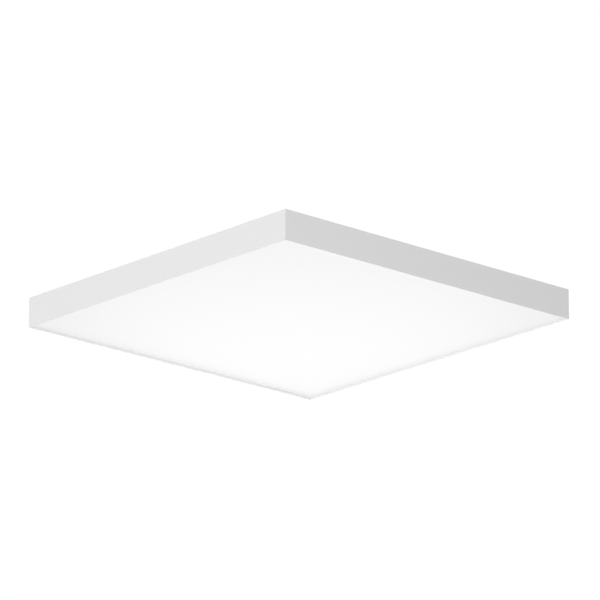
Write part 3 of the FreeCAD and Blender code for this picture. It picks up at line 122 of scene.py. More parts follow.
class CeilingLightColours(bpy.types.PropertyGroup):
    """The colours of the light's pieces."""

    coat: colour("Powder coat", "White coat on the frame", "#EFEFEF")
    opal: colour("Opal acrylic", "Diffuser, unlit", "#A4A4A4")
    glow: colour("Glow", "Light that the diffuser gives", "#FFFFFF")
    zinc: colour("Zinc", "Plated rails, bridge, rivets and screws", "#BDC1C4")
    zinc_tint: colour("Passivation", "Clouds on the zinc plate", "#B3B9BE")
    spring: colour("Spring steel", "Catches and clips", "#8F9296")
    heat_tint: colour("Heat tint", "Tempering clouds on the spring steel", "#8A8378")
    oxide: colour("Black oxide", "Grub screws", "#2B2C2E")
    casting: colour("Die-cast aluminium", "Corner keys", "#B9BBBC")
    flow: colour("Flow marks", "Where the casting's metal met", "#A4A7A9")
    panel: colour("Coil coat", "Back panel", "#D8DAD9")
    rubber: colour("Rubber", "Grommet and bush", "#1D1D1F")
    bloom: colour("Rubber bloom", "Dull clouds on the rubber", "#2A2A2C")
    mask: colour("Solder mask", "LED strips and link board", "#EBECE7")
    track: colour("Covered copper", "Tracks under the solder mask", "#DADDD3")
    phosphor: colour("Phosphor", "LED packages", "#F4C94C")
    led_light: colour("LED light", "Light that the LED packages give", "#FFF4DC")
    lens: colour("Clear acrylic", "LED lenses", "#F3F8FA")
    nylon: colour("White nylon", "Connectors and driver terminals", "#EAE9E2")
    reflector: colour("Reflector", "Sheet under the LED strips", "#F2F2F0")
    case: colour("Polycarbonate", "Driver case", "#E6E6E3")
    board: colour("Circuit board", "Driver board", "#1F6B45")
    ferrite: colour("Ferrite", "Transformer", "#2E2B2A")
    sleeve: colour("Shrink sleeve", "Capacitors", "#20253A")
    switch: colour("Black moulding", "Selector switch", "#1B1B1C")
    polyamide: colour("Grey polyamide", "Terminal block, clamp and saddles", "#B4B8BA")
    button: colour("Orange button", "Terminal release buttons", "#E8731E")
    slider: colour("Red slider", "Colour selector", "#C22A22")
    brass: colour("Brass", "Contacts and earth lug", "#D8B566")
    tarnish: colour("Tarnish", "Dull clouds on the brass", "#B08D48")
    brown: colour("Brown insulation", "Live lead", "#6B3E1E")
    blue: colour("Blue insulation", "Neutral lead", "#2A63B8")
    green: colour("Green insulation", "Earth lead", "#3C8F3A")
    yellow: colour("Yellow stripe", "Earth lead", "#E6CF2E")
    red: colour("Red insulation", "Plus lead", "#B8231C")
    black: colour("Black insulation", "Minus lead", "#1E1E1F")
    floor: colour("Floor", "Pale studio floor", "#F2F2F2")


class CeilingLightSettings(bpy.types.PropertyGroup):
    """The glow, the trim of the driver's lid, the camera and the lamps."""

    glow_strength: number("Glow strength", "Light from the middle of the diffuser", 0.42, min=0, soft_max=5)
    # Painted shade: the edge loss and its fade darken the diffuser's glow along the frame, where the frame
    # shades the light behind it.
    glow_edge_shade: number("Edge loss", "Share of the glow lost at the diffuser's edge", 0.01, min=0, max=1)
    glow_shade_width: size("Glow fade", "How far in the edges fade", 50)
    led_strength: number("LED strength", "Light from an LED package", 1.5, min=0, soft_max=20)
    seam_inset: size("Seam inset", "From the driver's end to the seam of its end cap", 22)
    seam_width: size("Seam width", "Across the seam of an end cap", 0.8)
    seam_depth: size("Seam depth", "Depth of the seam of an end cap", 0.5)
    rib_count: bpy.props.IntProperty(name="Ribs", description="Grip ribs on each end cap", default=5, min=0)
    rib_pitch: size("Rib pitch", "From one grip rib to the next", 3)
    rib_width: size("Rib width", "Across a grip rib", 1.6)
    rib_height: size("Rib height", "Height of a grip rib", 0.8)
    rib_length: size("Rib length", "Length of a grip rib", 44)
    field_length: size("Field length", "Length of the sunk field on the driver", 104)
    field_width: size("Field width", "Width of the sunk field on the driver", 38)
    field_depth: size("Field depth", "Depth of the sunk field on the driver", 0.6)
    field_shift: size("Field shift", "From the driver's middle to the field's", 14)
    azimuth: turn("Azimuth", "Turn of the view round the light", 42.43)
    elevation: turn("Elevation", "How steeply the camera looks up", 17.54)
    roll: turn("Roll", "Turn of the camera about its own line", -0.13)
    distance: reach("Distance", "From the camera to the light", 9.128)
    lens: number("Lens", "Focal length in millimetres", 348.6, min=1, subtype="DISTANCE_CAMERA")
    aim_right: reach("Aim right", "Aim beside the light's middle", 0.0025)
    aim_down: reach("Aim down", "Aim under the light's middle", 0.011)
    backdrop: number("Backdrop", "White that the camera sees, over 1 to hide the render's grain", 1.01, min=0)
    ambient: number("Ambient", "Even light from all round", 0.515, min=0, soft_max=1)
    left_power: power("Left lamp", "Soft lamp beside the left wall", 27.4)
    front_power: power("Front lamp", "Soft lamp before the front wall", 7.1)
    top_power: power("Top lamp", "Soft lamp over the bracket", 30)
    far_power: power("Far lamp", "Dim panel that shines in the diffuser", 1.9)
    under_power: power("Under lamp", "Soft lamp under the diffuser", 3.65)


# Materials


def add_node(owner, kind, inputs=None, **settings):
    """Add a node to a material or a world, set its properties, and set or link its inputs."""
    node = owner.node_tree.nodes.new(kind)
    for name, value in settings.items():
        setattr(node, name, value)
    for socket, value in (inputs or {}).items():
        if isinstance(value, bpy.types.NodeSocket):
            owner.node_tree.links.new(value, node.inputs[socket])
        else:
            node.inputs[socket].default_value = value
    return node


def new_material(name, **sockets):
    """A material with its shader's own values set; underscores in their names stand for spaces."""
    material = bpy.data.materials.new(name)
    material.use_nodes = True
    shader = material.node_tree.nodes["Principled BSDF"]
    for socket, value in sockets.items():
        shader.inputs[socket.replace("_", " ")].default_value = value
    return material, shader


def shade(rgb, factor=1):
    """A colour made lighter or darker, with full alpha."""
    return [min(1, channel * factor) for channel in rgb] + [1]


def grained(
    name, rgb, roughness, grain, stretch=(1, 1, 1), tone=0.03, spread=0.06, relief=0, cloud=0, stain=None,
    **sockets,
):
    """A surface whose colour, gloss and relief follow one grain, under slow clouds of a second colour.

    Grain, relief and cloud are in millimetres, and stretch draws the grain out along the axes. Tone is the
    share by which the grain lightens and darkens the colour, and spread is how far it moves the roughness.
    """
    material, shader = new_material(name, **sockets)
    place = add_node(material, "ShaderNodeTexCoord")
    scale = [1 / (grain * MM * factor) for factor in stretch]
    mapped = add_node(material, "ShaderNodeMapping", {"Vector": place.outputs["Object"], "Scale": scale})
    noise = add_node(
        material, "ShaderNodeTexNoise", {"Vector": mapped.outputs["Vector"], "Scale": 1, "Detail": 3}
    )
    tones = add_node(material, "ShaderNodeValToRGB", {"Fac": noise.outputs["Fac"]})
    dark, light = tones.color_ramp.elements
    dark.position = GRAIN_DARK
    dark.color = shade(rgb, 1 - tone)
    light.position = GRAIN_LIGHT
    light.color = shade(rgb, 1 + tone)
    surface = tones.outputs["Color"]
    if cloud:
        slow = add_node(
            material,
            "ShaderNodeTexNoise",
            {"Vector": place.outputs["Object"], "Scale": 1 / (cloud * MM), "Detail": 2},
        )
        share = add_node(
            material,
            "ShaderNodeMapRange",
            {"Value": slow.outputs["Fac"], "From Min": CLOUD_START, "From Max": CLOUD_FULL},
        )
        clouded = add_node(
            material,
            "ShaderNodeMixRGB",
            {"Fac": share.outputs["Result"], "Color1": surface, "Color2": shade(stain)},
        )
        surface = clouded.outputs["Color"]
    gloss = add_node(
        material,
        "ShaderNodeMapRange",
        {"Value": noise.outputs["Fac"], "To Min": roughness - spread, "To Max": roughness + spread},
    )
    links = material.node_tree.links
    links.new(surface, shader.inputs["Base Color"])
    links.new(gloss.outputs["Result"], shader.inputs["Roughness"])
    if relief:
        bump = add_node(
            material,
            "ShaderNodeBump",
            {"Height": noise.outputs["Fac"], "Distance": relief * MM, "Strength": RELIEF_STRENGTH},
        )
        links.new(bump.outputs["Normal"], shader.inputs["Normal"])
    return material


def opal_acrylic(colours, settings):
    """Extruded opal acrylic lit from behind: even milky white, its glow dimmed by painted shade along the
    frame.
    """
    shade_power = 2
    haze_width = 60 * MM
    haze_depth = 0.005
    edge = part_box("diffuser")[1].x
    material, shader = new_material(
        "opal_acrylic", Roughness=0.35, IOR=1.49, Emission_Color=shade(colours.glow)
    )
    place = add_node(material, "ShaderNodeTexCoord")
    axes = add_node(material, "ShaderNodeSeparateXYZ", {"Vector": place.outputs["Object"]})
    # Painted shade: the glow fades toward the frame, standing in for the frame's ledge shading the light
    # behind the diffuser.
    shares = []
    for axis in ("X", "Y"):
        offset = add_node(material, "ShaderNodeMath", {0: axes.outputs[axis]}, operation="ABSOLUTE")
        nearness = add_node(
            material,
            "ShaderNodeMapRange",
            {"Value": offset.outputs[0], "From Min": edge - settings.glow_shade_width, "From Max": edge},
        )
        curve = add_node(
            material, "ShaderNodeMath", {0: nearness.outputs["Result"], 1: shade_power}, operation="POWER"
        )
        share = add_node(
            material,
            "ShaderNodeMapRange",
            {"Value": curve.outputs[0], "To Min": 1, "To Max": 1 - settings.glow_edge_shade},
        )
        shares.append(share.outputs["Result"])
    both = add_node(material, "ShaderNodeMath", {0: shares[0], 1: shares[1]}, operation="MULTIPLY")
    strength = add_node(
        material, "ShaderNodeMath", {0: both.outputs[0], 1: settings.glow_strength}, operation="MULTIPLY"
    )
    haze = add_node(
        material,
        "ShaderNodeTexNoise",
        {"Vector": place.outputs["Object"], "Scale": 1 / haze_width, "Detail": 1},
    )
    tones = add_node(material, "ShaderNodeValToRGB", {"Fac": haze.outputs["Fac"]})
    dark, light = tones.color_ramp.elements
    dark.color = shade(colours.opal, 1 - haze_depth)
    light.color = shade(colours.opal, 1 + haze_depth)
    links = material.node_tree.links
    links.new(tones.outputs["Color"], shader.inputs["Base Color"])
    links.new(strength.outputs[0], shader.inputs["Emission Strength"])
    return material


def solder_mask(name, colours, axis, centre, half_width):
    """White solder mask over copper: satin white, with the tracks under it as faint bands along the board.

    The bands lie about lines at the odd multiples of centre on the axis, in metres. A wide track and a
    middle track start and end at shares of the way from the board's edge to its middle line.
    """
    wide_start = 0.12
    wide_end = 0.42
    middle_start = 0.52
    track_height = 0.03 * MM
    material, shader = new_material(name, Roughness=0.4)
    place = add_node(material, "ShaderNodeTexCoord")
    axes = add_node(material, "ShaderNodeSeparateXYZ", {"Vector": place.outputs["Object"]})
    folded = add_node(material, "ShaderNodeMath", {0: axes.outputs[axis], 1: centre}, operation="PINGPONG")
    across = add_node(
        material,
        "ShaderNodeMapRange",
        {"Value": folded.outputs[0], "From Min": centre - half_width, "From Max": centre},
    )
    bands = add_node(material, "ShaderNodeValToRGB", {"Fac": across.outputs["Result"]})
    ramp = bands.color_ramp
    ramp.interpolation = "CONSTANT"
    ramp.elements[0].color = shade(colours.mask)
    ramp.elements[1].position = wide_start
    ramp.elements[1].color = shade(colours.track)
    for position, rgb in ((wide_end, colours.mask), (middle_start, colours.track)):
        ramp.elements.new(position).color = shade(rgb)
    bump = add_node(
        material, "ShaderNodeBump", {"Height": across.outputs["Result"], "Distance": track_height}
    )
    links = material.node_tree.links
    links.new(bands.outputs["Color"], shader.inputs["Base Color"])
    links.new(bump.outputs["Normal"], shader.inputs["Normal"])
    return material


def striped_insulation(colours):
    """Extruded green PVC with a yellow stripe along its upper side."""
    stripe_start = 0.84
    low, high = (corner.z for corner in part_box("earth_lead"))
    material, shader = new_material("green_yellow_pvc", Roughness=0.4)
    place = add_node(material, "ShaderNodeTexCoord")
    axes = add_node(material, "ShaderNodeSeparateXYZ", {"Vector": place.outputs["Object"]})
    height = add_node(
        material, "ShaderNodeMapRange", {"Value": axes.outputs["Z"], "From Min": low, "From Max": high}
    )
    stripe = add_node(material, "ShaderNodeValToRGB", {"Fac": height.outputs["Result"]})
    ramp = stripe.color_ramp
    ramp.interpolation = "CONSTANT"
    ramp.elements[0].color = shade(colours.green)
    ramp.elements[1].position = stripe_start
    ramp.elements[1].color = shade(colours.yellow)
    material.node_tree.links.new(stripe.outputs["Color"], shader.inputs["Base Color"])
    return material


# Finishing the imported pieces


def dress(material, *names):
    """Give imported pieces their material."""
    for name in names:
        nodes[name].material_slots[0].material = material


def soften(width, *names):
    """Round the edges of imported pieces, as a mould, a die or a file leaves them.

    The width is in millimetres.
    """
    for name in names:
        modifiers = nodes[name].modifiers
        joined = modifiers.new("joined_triangles", "WELD")
        joined.merge_threshold = JOIN_REACH
        flats = modifiers.new("whole_flats", "DECIMATE")
        flats.decimate_type = "DISSOLVE"
        flats.angle_limit = FLAT_ANGLE
        rounding = modifiers.new("rounded_edges", "BEVEL")
        rounding.width = width * MM
        rounding.segments = 2
        rounding.limit_method = "ANGLE"
        rounding.angle_limit = SHARP_ANGLE
        rounding.use_clamp_overlap = False
        shading = modifiers.new("even_shading", "WEIGHTED_NORMAL")
        shading.keep_sharp = False


def flat_faced_copy(name):
    """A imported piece's mesh with its triangles joined into flat faces."""
    mesh = bmesh.new()
    mesh.from_mesh(nodes[name].data)
    bmesh.ops.remove_doubles(mesh, verts=mesh.verts, dist=JOIN_REACH)
    bmesh.ops.dissolve_limit(mesh, angle_limit=FLAT_ANGLE, verts=mesh.verts, edges=mesh.edges)
    return mesh


def cut_across(mesh, axis, places):
    """Split a mesh's faces where planes square to an axis cross them."""
    for place in places:
        everything = [*mesh.verts, *mesh.edges, *mesh.faces]
        bmesh.ops.bisect_plane(
            mesh, geom=everything, plane_co=axis * place, plane_no=axis, dist=JOIN_REACH
        )


def press(mesh, faces, depth, slope):
    """Sink faces into a mesh behind sloping walls; a depth under zero raises them."""
    bmesh.ops.inset_region(
        mesh, faces=faces, thickness=slope, depth=-depth, use_boundary=True, use_even_offset=True
    )


def stripe_edges(middle, width):
    """The two edges of a stripe."""
    return (middle - width / 2, middle + width / 2)


def new_piece(name, mesh, material, body):
    """Make a piece of a mesh, smooth over its round faces, that moves with a body."""
    for face in mesh.faces:
        face.smooth = True
    for edge in mesh.edges:
        edge.smooth = edge.calc_face_angle(0) < SHARP_ANGLE
    data = bpy.data.meshes.new(name)
    mesh.to_mesh(data)
    mesh.free()
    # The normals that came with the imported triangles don't fit the new faces.
    data.attributes.remove(data.attributes["custom_normal"])
    data.materials.clear()
    data.materials.append(material)
    piece = bpy.data.objects.new(name, data)
    bpy.context.scene.collection.objects.link(piece)
    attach(piece, body)
    return piece


def driver_lid(settings, material):
    """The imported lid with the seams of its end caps, their grip ribs, and a bare sunk field."""
    # From the driver's end to the middle of its first rib.
    first_rib = 1.5 * settings.rib_pitch
    # Faces whose normals point down more than this are the underside.
    underside_slope = -0.5
    low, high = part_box("driver_cover")
    middle = (low + high) / 2
    mesh = flat_faced_copy("driver_cover")
    seams = [stripe_edges(end * (high.x - settings.seam_inset), settings.seam_width) for end in (-1, 1)]
    ribs = [
        stripe_edges(end * (high.x - first_rib - settings.rib_pitch * index), settings.rib_width)
        for end in (-1, 1)
        for index in range(settings.rib_count)
    ]
    rib_ends = stripe_edges(middle.y, settings.rib_length)
    field_ends = stripe_edges(middle.x - settings.field_shift, settings.field_length)
    field_sides = stripe_edges(middle.y, settings.field_width)
    for edges in (*seams, *ribs, field_ends):
        cut_across(mesh, X, edges)
    for edges in (rib_ends, field_sides):
        cut_across(mesh, Y, edges)

    def on_top(ends, sides):
        """The faces of the lid's flat top inside a rectangle."""
        faces = []
        for face in mesh.faces:
            place = face.calc_center_median()
            inside = ends[0] < place.x < ends[1] and sides[0] < place.y < sides[1]
            if inside and place.z > high.z - JOIN_REACH:
                faces.append(face)
        return faces

    def round_outside(ends):
        """The outer faces of a ring round the lid, without its underside."""
        faces = []
        for face in mesh.faces:
            place = face.calc_center_median()
            outward = face.normal.dot(Vector((0, place.y - middle.y, place.z - middle.z))) > 0
            if ends[0] < place.x < ends[1] and outward and face.normal.z > underside_slope:
                faces.append(face)
        return faces

    for seam in seams:
        press(mesh, round_outside(seam), settings.seam_depth, 0)
    for rib in ribs:
        press(mesh, on_top(rib, rib_ends), -settings.rib_height, settings.rib_height / 2)
    press(mesh, on_top(field_ends, field_sides), settings.field_depth, settings.field_depth)
    bmesh.ops.dissolve_limit(mesh, angle_limit=FLAT_ANGLE, verts=mesh.verts, edges=mesh.edges)
    lid = new_piece("driver_lid", mesh, material, "luminaire")
    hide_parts("driver_cover")


class FinishOperator:
    """What the finishing operators share."""

    bl_options = {"REGISTER", "UNDO"}

    def execute(self, context):
        self.finish_pieces(context.scene.ceiling_light_colours, context.scene.ceiling_light)
        return {"FINISHED"}


class CEILINGLIGHT_OT_frame(FinishOperator, bpy.types.Operator):
    """Coat the frame's walls and finish the keys that join them"""

    bl_idname = "ceiling_light.frame"
    bl_label = "Frame"

    def finish_pieces(self, colours, settings):
        # Baked polyester powder: satin white with the soft ripple of its melted grains.
        # The ripple is about 1 mm in truth, and drawn at 3 mm so that it shows.
        coat = grained(
            "white_powder_coat", colours.coat, roughness=0.42, grain=3, tone=0.006, spread=0.04, relief=0.01
        )
        walls = [f"frame_{side}" for side in SIDES]
        dress(coat, *walls)
        soften(COATED_EDGE, *walls)
        # Die-cast aluminium: pale grey with a dull skin, fine pits and darker flow marks.
        casting = grained(
            "die_cast_aluminium", colours.casting, roughness=0.5, grain=0.9, tone=0.08, relief=0.06,
            cloud=14, stain=colours.flow, Metallic=1,
        )
        keys = [f"corner_key_{corner}" for corner in CORNERS]
        dress(casting, *keys)
        soften(THICK_EDGE, *keys)
        # Black oxide on turned steel: almost black, with a dull oily gleam.
        oxide = grained("black_oxide_steel", colours.oxide, roughness=0.42, grain=0.4, tone=0.2, Metallic=0.7)
        dress(oxide, "corner_grub_screws")


class CEILINGLIGHT_OT_bracket(FinishOperator, bpy.types.Operator):
    """Finish the rails, the bridge, the catches and the cable grommet"""

    bl_idname = "ceiling_light.bracket"
    bl_label = "Ceiling bracket"

    def finish_pieces(self, colours, settings):
        # Rolled steel strip, zinc plated: cool grey with streaks along the rolling and cloudy passivation.
        # The streaks are about 0.2 mm wide in truth, and drawn at 1.2 mm so that they show.
        zinc = grained(
            "zinc_plated_steel", colours.zinc, roughness=0.4, grain=1.2, stretch=(1, 60, 1), tone=0.07,
            spread=0.1, cloud=16, stain=colours.zinc_tint, Metallic=1,
        )
        dress(zinc, "rail_left", "rail_right", "bridge_plate")
        soften(BENT_EDGE, "rail_left", "rail_right", "bridge_plate")
        # Tempered spring strip: darker bright steel with brownish heat tint.
        spring = grained(
            "tempered_spring_steel", colours.spring, roughness=0.3, grain=0.5, stretch=(20, 20, 1), tone=0.08,
            cloud=9, stain=colours.heat_tint, Metallic=1,
        )
        dress(spring, "diffuser_clips", *[f"catch_spring_{corner}" for corner in CORNERS])
        # Headed and plated: bright, a little hammered.
        rivet = grained(
            "plated_rivet_steel", colours.zinc, roughness=0.3, grain=0.7, tone=0.08, relief=0.03, Metallic=1
        )
        dress(rivet, "bridge_rivets", "catch_rivets")
        # Moulded EPDM rubber: near black and dull, with a faint grey bloom.
        rubber = grained(
            "moulded_rubber", colours.rubber, roughness=0.7, grain=0.8, tone=0.12, relief=0.03,
            cloud=6, stain=colours.bloom,
        )
        dress(rubber, "cable_grommet", "wire_bush")
        soften(THICK_EDGE, "cable_grommet", "wire_bush")


class CEILINGLIGHT_OT_panel(FinishOperator, bpy.types.Operator):
    """Finish the back panel and the screws"""

    bl_idname = "ceiling_light.panel"
    bl_label = "Back panel"

    def finish_pieces(self, colours, settings):
        # Coil-coated steel sheet: pale grey polyester with a soft sheen and the faint ripple of its roller.
        sheet = grained(
            "coil_coated_sheet", colours.panel, roughness=0.38, grain=2, stretch=(1, 6, 1), tone=0.012,
            relief=0.008,
        )
        dress(sheet, "back_panel")
        # Cold-headed and zinc plated: bright, with fine drawing lines.
        screw = grained(
            "plated_screw_steel", colours.zinc, roughness=0.28, grain=0.5, tone=0.1, relief=0.02, Metallic=1
        )
        dress(screw, "panel_screws", "strip_screws", "gear_screws", "earth_screw")


class CEILINGLIGHT_OT_leds(FinishOperator, bpy.types.Operator):
    """Finish the LED strips, the lenses and the reflector"""

    bl_idname = "ceiling_light.leds"
    bl_label = "LED strips"

    def finish_pieces(self, colours, settings):
        low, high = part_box("led_strip_4")
        strip_middle = (low.y + high.y) / 2
        strip_mask = solder_mask("white_solder_mask", colours, "Y", strip_middle, (high.y - low.y) / 2)
        dress(strip_mask, *STRIPS)
        low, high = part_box("link_board")
        link_middle = (low.x + high.x) / 2
        link_mask = solder_mask("white_link_mask", colours, "X", link_middle, (high.x - low.x) / 2)
        dress(link_mask, "link_board")
        # Silicone filled with phosphor: matte yellow, slightly grainy, with a weak glow of its own.
        phosphor = grained(
            "phosphor_silicone", colours.phosphor, roughness=0.5, grain=0.3, tone=0.06,
            Emission_Color=shade(colours.led_light), Emission_Strength=settings.led_strength,
        )
        # The packages are too small to light the scene as lamps.
        phosphor.cycles.emission_sampling = "NONE"
        dress(phosphor, "led_packages")
        # Moulded clear acrylic: polished, with the milky haze that spreads each LED's light.
        lens = grained(
            "hazy_clear_acrylic", colours.lens, roughness=0.12, grain=6, tone=0.01, spread=0.04,
            Transmission_Weight=0.55, IOR=1.49,
        )
        dress(lens, "led_lenses")
        # Foamed polyester film: dead matte white with fine cells.
        reflector = grained(
            "reflector_film", colours.reflector, roughness=0.85, grain=0.8, tone=0.015, relief=0.01
        )
        dress(reflector, "reflector_sheet")
        # Moulded nylon: creamy white, waxy, with a fine spark texture.
        nylon = grained("white_nylon", colours.nylon, roughness=0.45, grain=0.5, tone=0.02, relief=0.01)
        dress(nylon, "strip_connectors", "lead_connector", "driver_terminals")
        soften(SMALL_EDGE, "strip_connectors", "lead_connector", "driver_terminals")


class CEILINGLIGHT_OT_driver(FinishOperator, bpy.types.Operator):
    """Finish the driver, its board and its selector"""

    bl_idname = "ceiling_light.driver"
    bl_label = "Driver"

    def finish_pieces(self, colours, settings):
        # Moulded polycarbonate: white, with an even spark-eroded grain that takes off the shine.
        # The grain is about 0.3 mm in truth, and drawn at 0.8 mm so that it shows.
        case = grained("polycarbonate_case", colours.case, roughness=0.5, grain=0.8, tone=0.02, relief=0.03)
        dress(case, "driver_base")
        soften(SMALL_EDGE, "driver_base")
        driver_lid(settings, case)
        # Glass-fibre board under green mask: glossy green with the cloth's faint weave.
        board = grained(
            "green_circuit_board", colours.board, roughness=0.3, grain=0.6, stretch=(1, 4, 1), tone=0.1
        )
        dress(board, "driver_board")
        # Pressed and fired ferrite: black-brown, dry and slightly sparkling.
        ferrite = grained("fired_ferrite", colours.ferrite, roughness=0.55, grain=0.4, tone=0.15, relief=0.02)
        dress(ferrite, "driver_transformer")
        soften(THICK_EDGE, "driver_transformer")
        # Shrunk PVC sleeve: dark blue and shiny, with slack ripples.
        sleeve = grained("shrink_sleeve", colours.sleeve, roughness=0.25, grain=2, tone=0.06, relief=0.04)
        dress(sleeve, "driver_capacitors")
        # Moulded glass-filled nylon: black and dull.
        switch = grained("black_nylon", colours.switch, roughness=0.5, grain=0.4, tone=0.1, relief=0.01)
        dress(switch, "selector_switch")
        soften(SMALL_EDGE, "selector_switch")
        # Moulded acetal: red, smooth and waxy.
        slider = grained("red_acetal", colours.slider, roughness=0.35, grain=0.6, tone=0.05, relief=0.01)
        dress(slider, "selector_slider")
        soften(SMALL_EDGE, "selector_slider")


class CEILINGLIGHT_OT_terminal(FinishOperator, bpy.types.Operator):
    """Finish the mains terminal, the cable clamp and the earth point"""

    bl_idname = "ceiling_light.terminal"
    bl_label = "Mains terminal"

    def finish_pieces(self, colours, settings):
        # Moulded polyamide: light grey, satin, with a fine grain.
        polyamide = grained(
            "grey_polyamide", colours.polyamide, roughness=0.48, grain=0.6, tone=0.03, relief=0.02
        )
        dress(polyamide, "terminal_block", "cable_clamp", "wire_saddles")
        soften(MOULDED_EDGE, "terminal_block", "cable_clamp", "wire_saddles")
        # Moulded acetal: orange, smooth and waxy.
        button = grained("orange_acetal", colours.button, roughness=0.35, grain=0.6, tone=0.05, relief=0.01)
        buttons = [f"terminal_button_{pole}" for pole in POLES]
        dress(button, *buttons)
        soften(MOULDED_EDGE, *buttons)
        # Stamped brass: warm yellow with drawing lines and dull tarnish.
        brass = grained(
            "stamped_brass", colours.brass, roughness=0.3, grain=0.4, stretch=(1, 8, 1), tone=0.08,
            cloud=4, stain=colours.tarnish, Metallic=1,
        )
        dress(brass, "terminal_contacts", "earth_lug")


class CEILINGLIGHT_OT_leads(FinishOperator, bpy.types.Operator):
    """Finish the inner leads"""

    bl_idname = "ceiling_light.leads"
    bl_label = "Leads"

    def finish_pieces(self, colours, settings):
        # Extruded PVC: even colour, a soft shine and slight waviness.
        insulation = {
            "live": colours.brown,
            "neutral": colours.blue,
            "plus": colours.red,
            "minus": colours.black,
        }
        for lead, rgb in insulation.items():
            pvc = grained(f"{lead}_pvc", rgb, roughness=0.4, grain=1.5, tone=0.05, relief=0.02)
            dress(pvc, f"{lead}_lead")
        dress(striped_insulation(colours), "earth_lead")


class CEILINGLIGHT_OT_diffuser(FinishOperator, bpy.types.Operator):
    """Light the diffuser"""

    bl_idname = "ceiling_light.diffuser"
    bl_label = "Diffuser"

    def finish_pieces(self, colours, settings):
        dress(opal_acrylic(colours, settings), "diffuser")


# The studio


def seen_directly(owner):
    """1 for rays from the camera, in mirrors and through glass, otherwise 0."""
    path = add_node(owner, "ShaderNodeLightPath")
    sharp = add_node(
        owner,
        "ShaderNodeMath",
        {0: path.outputs["Is Glossy Ray"], 1: path.outputs["Is Transmission Ray"]},
        operation="MAXIMUM",
    )
    seen = add_node(
        owner,
        "ShaderNodeMath",
        {0: path.outputs["Is Camera Ray"], 1: sharp.outputs[0]},
        operation="MAXIMUM",
    )
    return seen.outputs[0]


def white_world(ambient, backdrop):
    """White behind the light, with a plain even level for what it lights."""
    world = bpy.data.worlds.new("studio")
    world.use_nodes = True
    strength = add_node(
        world, "ShaderNodeMapRange", {"Value": seen_directly(world), "To Min": ambient, "To Max": backdrop}
    )
    background = world.node_tree.nodes["Background"]
    background.inputs["Color"].default_value = (1, 1, 1, 1)
    world.node_tree.links.new(strength.outputs["Result"], background.inputs["Strength"])
    return world


def pale_floor(rgb, backdrop):
    """Matte pale floor that looks white to the camera, far enough down for every view from below."""
    half_width = 20
    level = -9.6
    bpy.ops.mesh.primitive_plane_add(size=2 * half_width, location=(0, 0, level))
    floor = bpy.context.object
    floor.name = "studio_floor"
    material, shader = new_material("pale_floor", Base_Color=shade(rgb), Roughness=0.9)
    white = add_node(material, "ShaderNodeEmission", {"Strength": backdrop})
    mixed = add_node(
        material,
        "ShaderNodeMixShader",
        {0: seen_directly(material), 1: shader.outputs["BSDF"], 2: white.outputs["Emission"]},
    )
    output = material.node_tree.nodes["Material Output"]
    material.node_tree.links.new(mixed.outputs["Shader"], output.inputs["Surface"])
    floor.data.materials.append(material)


def soft_lamp(name, watts, place, aim, side):
    """A square soft lamp."""
    data = bpy.data.lights.new(name, "AREA")
    data.energy = watts
    data.size = side
    lamp = bpy.data.objects.new(name, data)
    lamp.location = place
    lamp.rotation_euler = (Vector(aim) - Vector(place)).to_track_quat("-Z", "Y").to_euler()
    bpy.context.scene.collection.objects.link(lamp)


def photo_camera(settings):
    """The camera below the light, looking up at its near corner."""
    view_depth = 100
    level = math.cos(settings.elevation)
    look = Vector(
        (math.sin(settings.azimuth) * level, math.cos(settings.azimuth) * level, math.sin(settings.elevation))
    )
    right = Vector((math.cos(settings.azimuth), -math.sin(settings.azimuth), 0))
    up = right.cross(look)
    place = -settings.distance * look
    aim = settings.aim_right * right - settings.aim_down * up
    data = bpy.data.cameras.new("photo_camera")
    data.lens = settings.lens
    data.clip_end = view_depth
    camera = bpy.data.objects.new("photo_camera", data)
    facing = (aim - place).to_track_quat("-Z", "Y").to_matrix().to_4x4()
    camera.matrix_world = Matrix.Translation(place) @ facing @ Matrix.Rotation(settings.roll, 4, "Z")
    bpy.context.scene.collection.objects.link(camera)
    bpy.context.scene.camera = camera


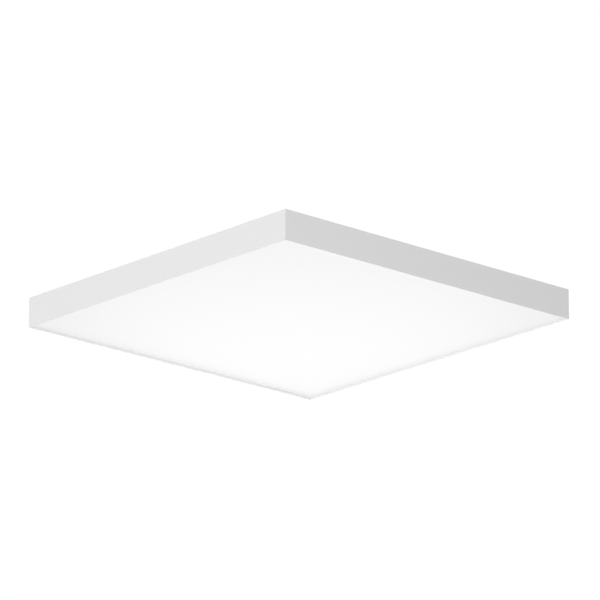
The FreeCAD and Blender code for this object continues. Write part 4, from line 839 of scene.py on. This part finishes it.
class CEILINGLIGHT_OT_stage(bpy.types.Operator):
    """Set up the floor, the lamps and the camera"""

    bl_idname = "ceiling_light.stage"
    bl_label = "Stage"
    bl_options = {"REGISTER", "UNDO"}

    def execute(self, context):
        settings = context.scene.ceiling_light
        context.scene.view_settings.view_transform = "Standard"
        context.scene.world = white_world(settings.ambient, settings.backdrop)
        pale_floor(context.scene.ceiling_light_colours.floor, settings.backdrop)
        soft_lamp("left_lamp", settings.left_power, place=(-2.5, 0.5, -0.25), aim=(0, 0.1, 0), side=3)
        soft_lamp("front_lamp", settings.front_power, place=(-0.8, -1.7, -0.6), aim=(-0.15, 0, 0), side=1.5)
        soft_lamp("top_lamp", settings.top_power, place=(0.5, -0.5, 3), aim=(0, 0, 0), side=5)
        soft_lamp("under_lamp", settings.under_power, place=(0.1, 0.1, -0.7), aim=(0, 0, 0), side=0.8)
        soft_lamp("far_lamp", settings.far_power, place=(1.29, 1.41, -0.1), aim=(0, 0, -0.1), side=0.8)
        photo_camera(settings)
        return {"FINISHED"}


class CEILINGLIGHT_PT_panel(bpy.types.Panel):
    """Lists the steps and their settings"""

    bl_idname = "CEILINGLIGHT_PT_panel"
    bl_label = "Ceiling Light"
    bl_space_type = "VIEW_3D"
    bl_region_type = "UI"
    bl_category = "Ceiling Light"

    def draw(self, context):
        for step in STEPS:
            self.layout.operator(step.bl_idname)
        for group in (context.scene.ceiling_light_colours, context.scene.ceiling_light):
            for name in group.__annotations__:
                self.layout.prop(group, name)


STEPS = (
    CEILINGLIGHT_OT_frame,
    CEILINGLIGHT_OT_bracket,
    CEILINGLIGHT_OT_panel,
    CEILINGLIGHT_OT_leds,
    CEILINGLIGHT_OT_driver,
    CEILINGLIGHT_OT_terminal,
    CEILINGLIGHT_OT_leads,
    CEILINGLIGHT_OT_diffuser,
    CEILINGLIGHT_OT_stage,
)
CLASSES = (CeilingLightColours, CeilingLightSettings, *STEPS, CEILINGLIGHT_PT_panel)


def register():
    for kind in CLASSES:
        bpy.utils.register_class(kind)
    bpy.types.Scene.ceiling_light_colours = bpy.props.PointerProperty(type=CeilingLightColours)
    bpy.types.Scene.ceiling_light = bpy.props.PointerProperty(type=CeilingLightSettings)


def unregister():
    del bpy.types.Scene.ceiling_light
    del bpy.types.Scene.ceiling_light_colours
    for kind in reversed(CLASSES):
        bpy.utils.unregister_class(kind)


def main():
    register()
    bpy.ops.ceiling_light.frame()
    bpy.ops.ceiling_light.bracket()
    bpy.ops.ceiling_light.panel()
    bpy.ops.ceiling_light.leds()
    bpy.ops.ceiling_light.driver()
    bpy.ops.ceiling_light.terminal()
    bpy.ops.ceiling_light.leads()
    bpy.ops.ceiling_light.diffuser()
    bpy.ops.ceiling_light.stage()


if __name__ == "__main__":
    main()
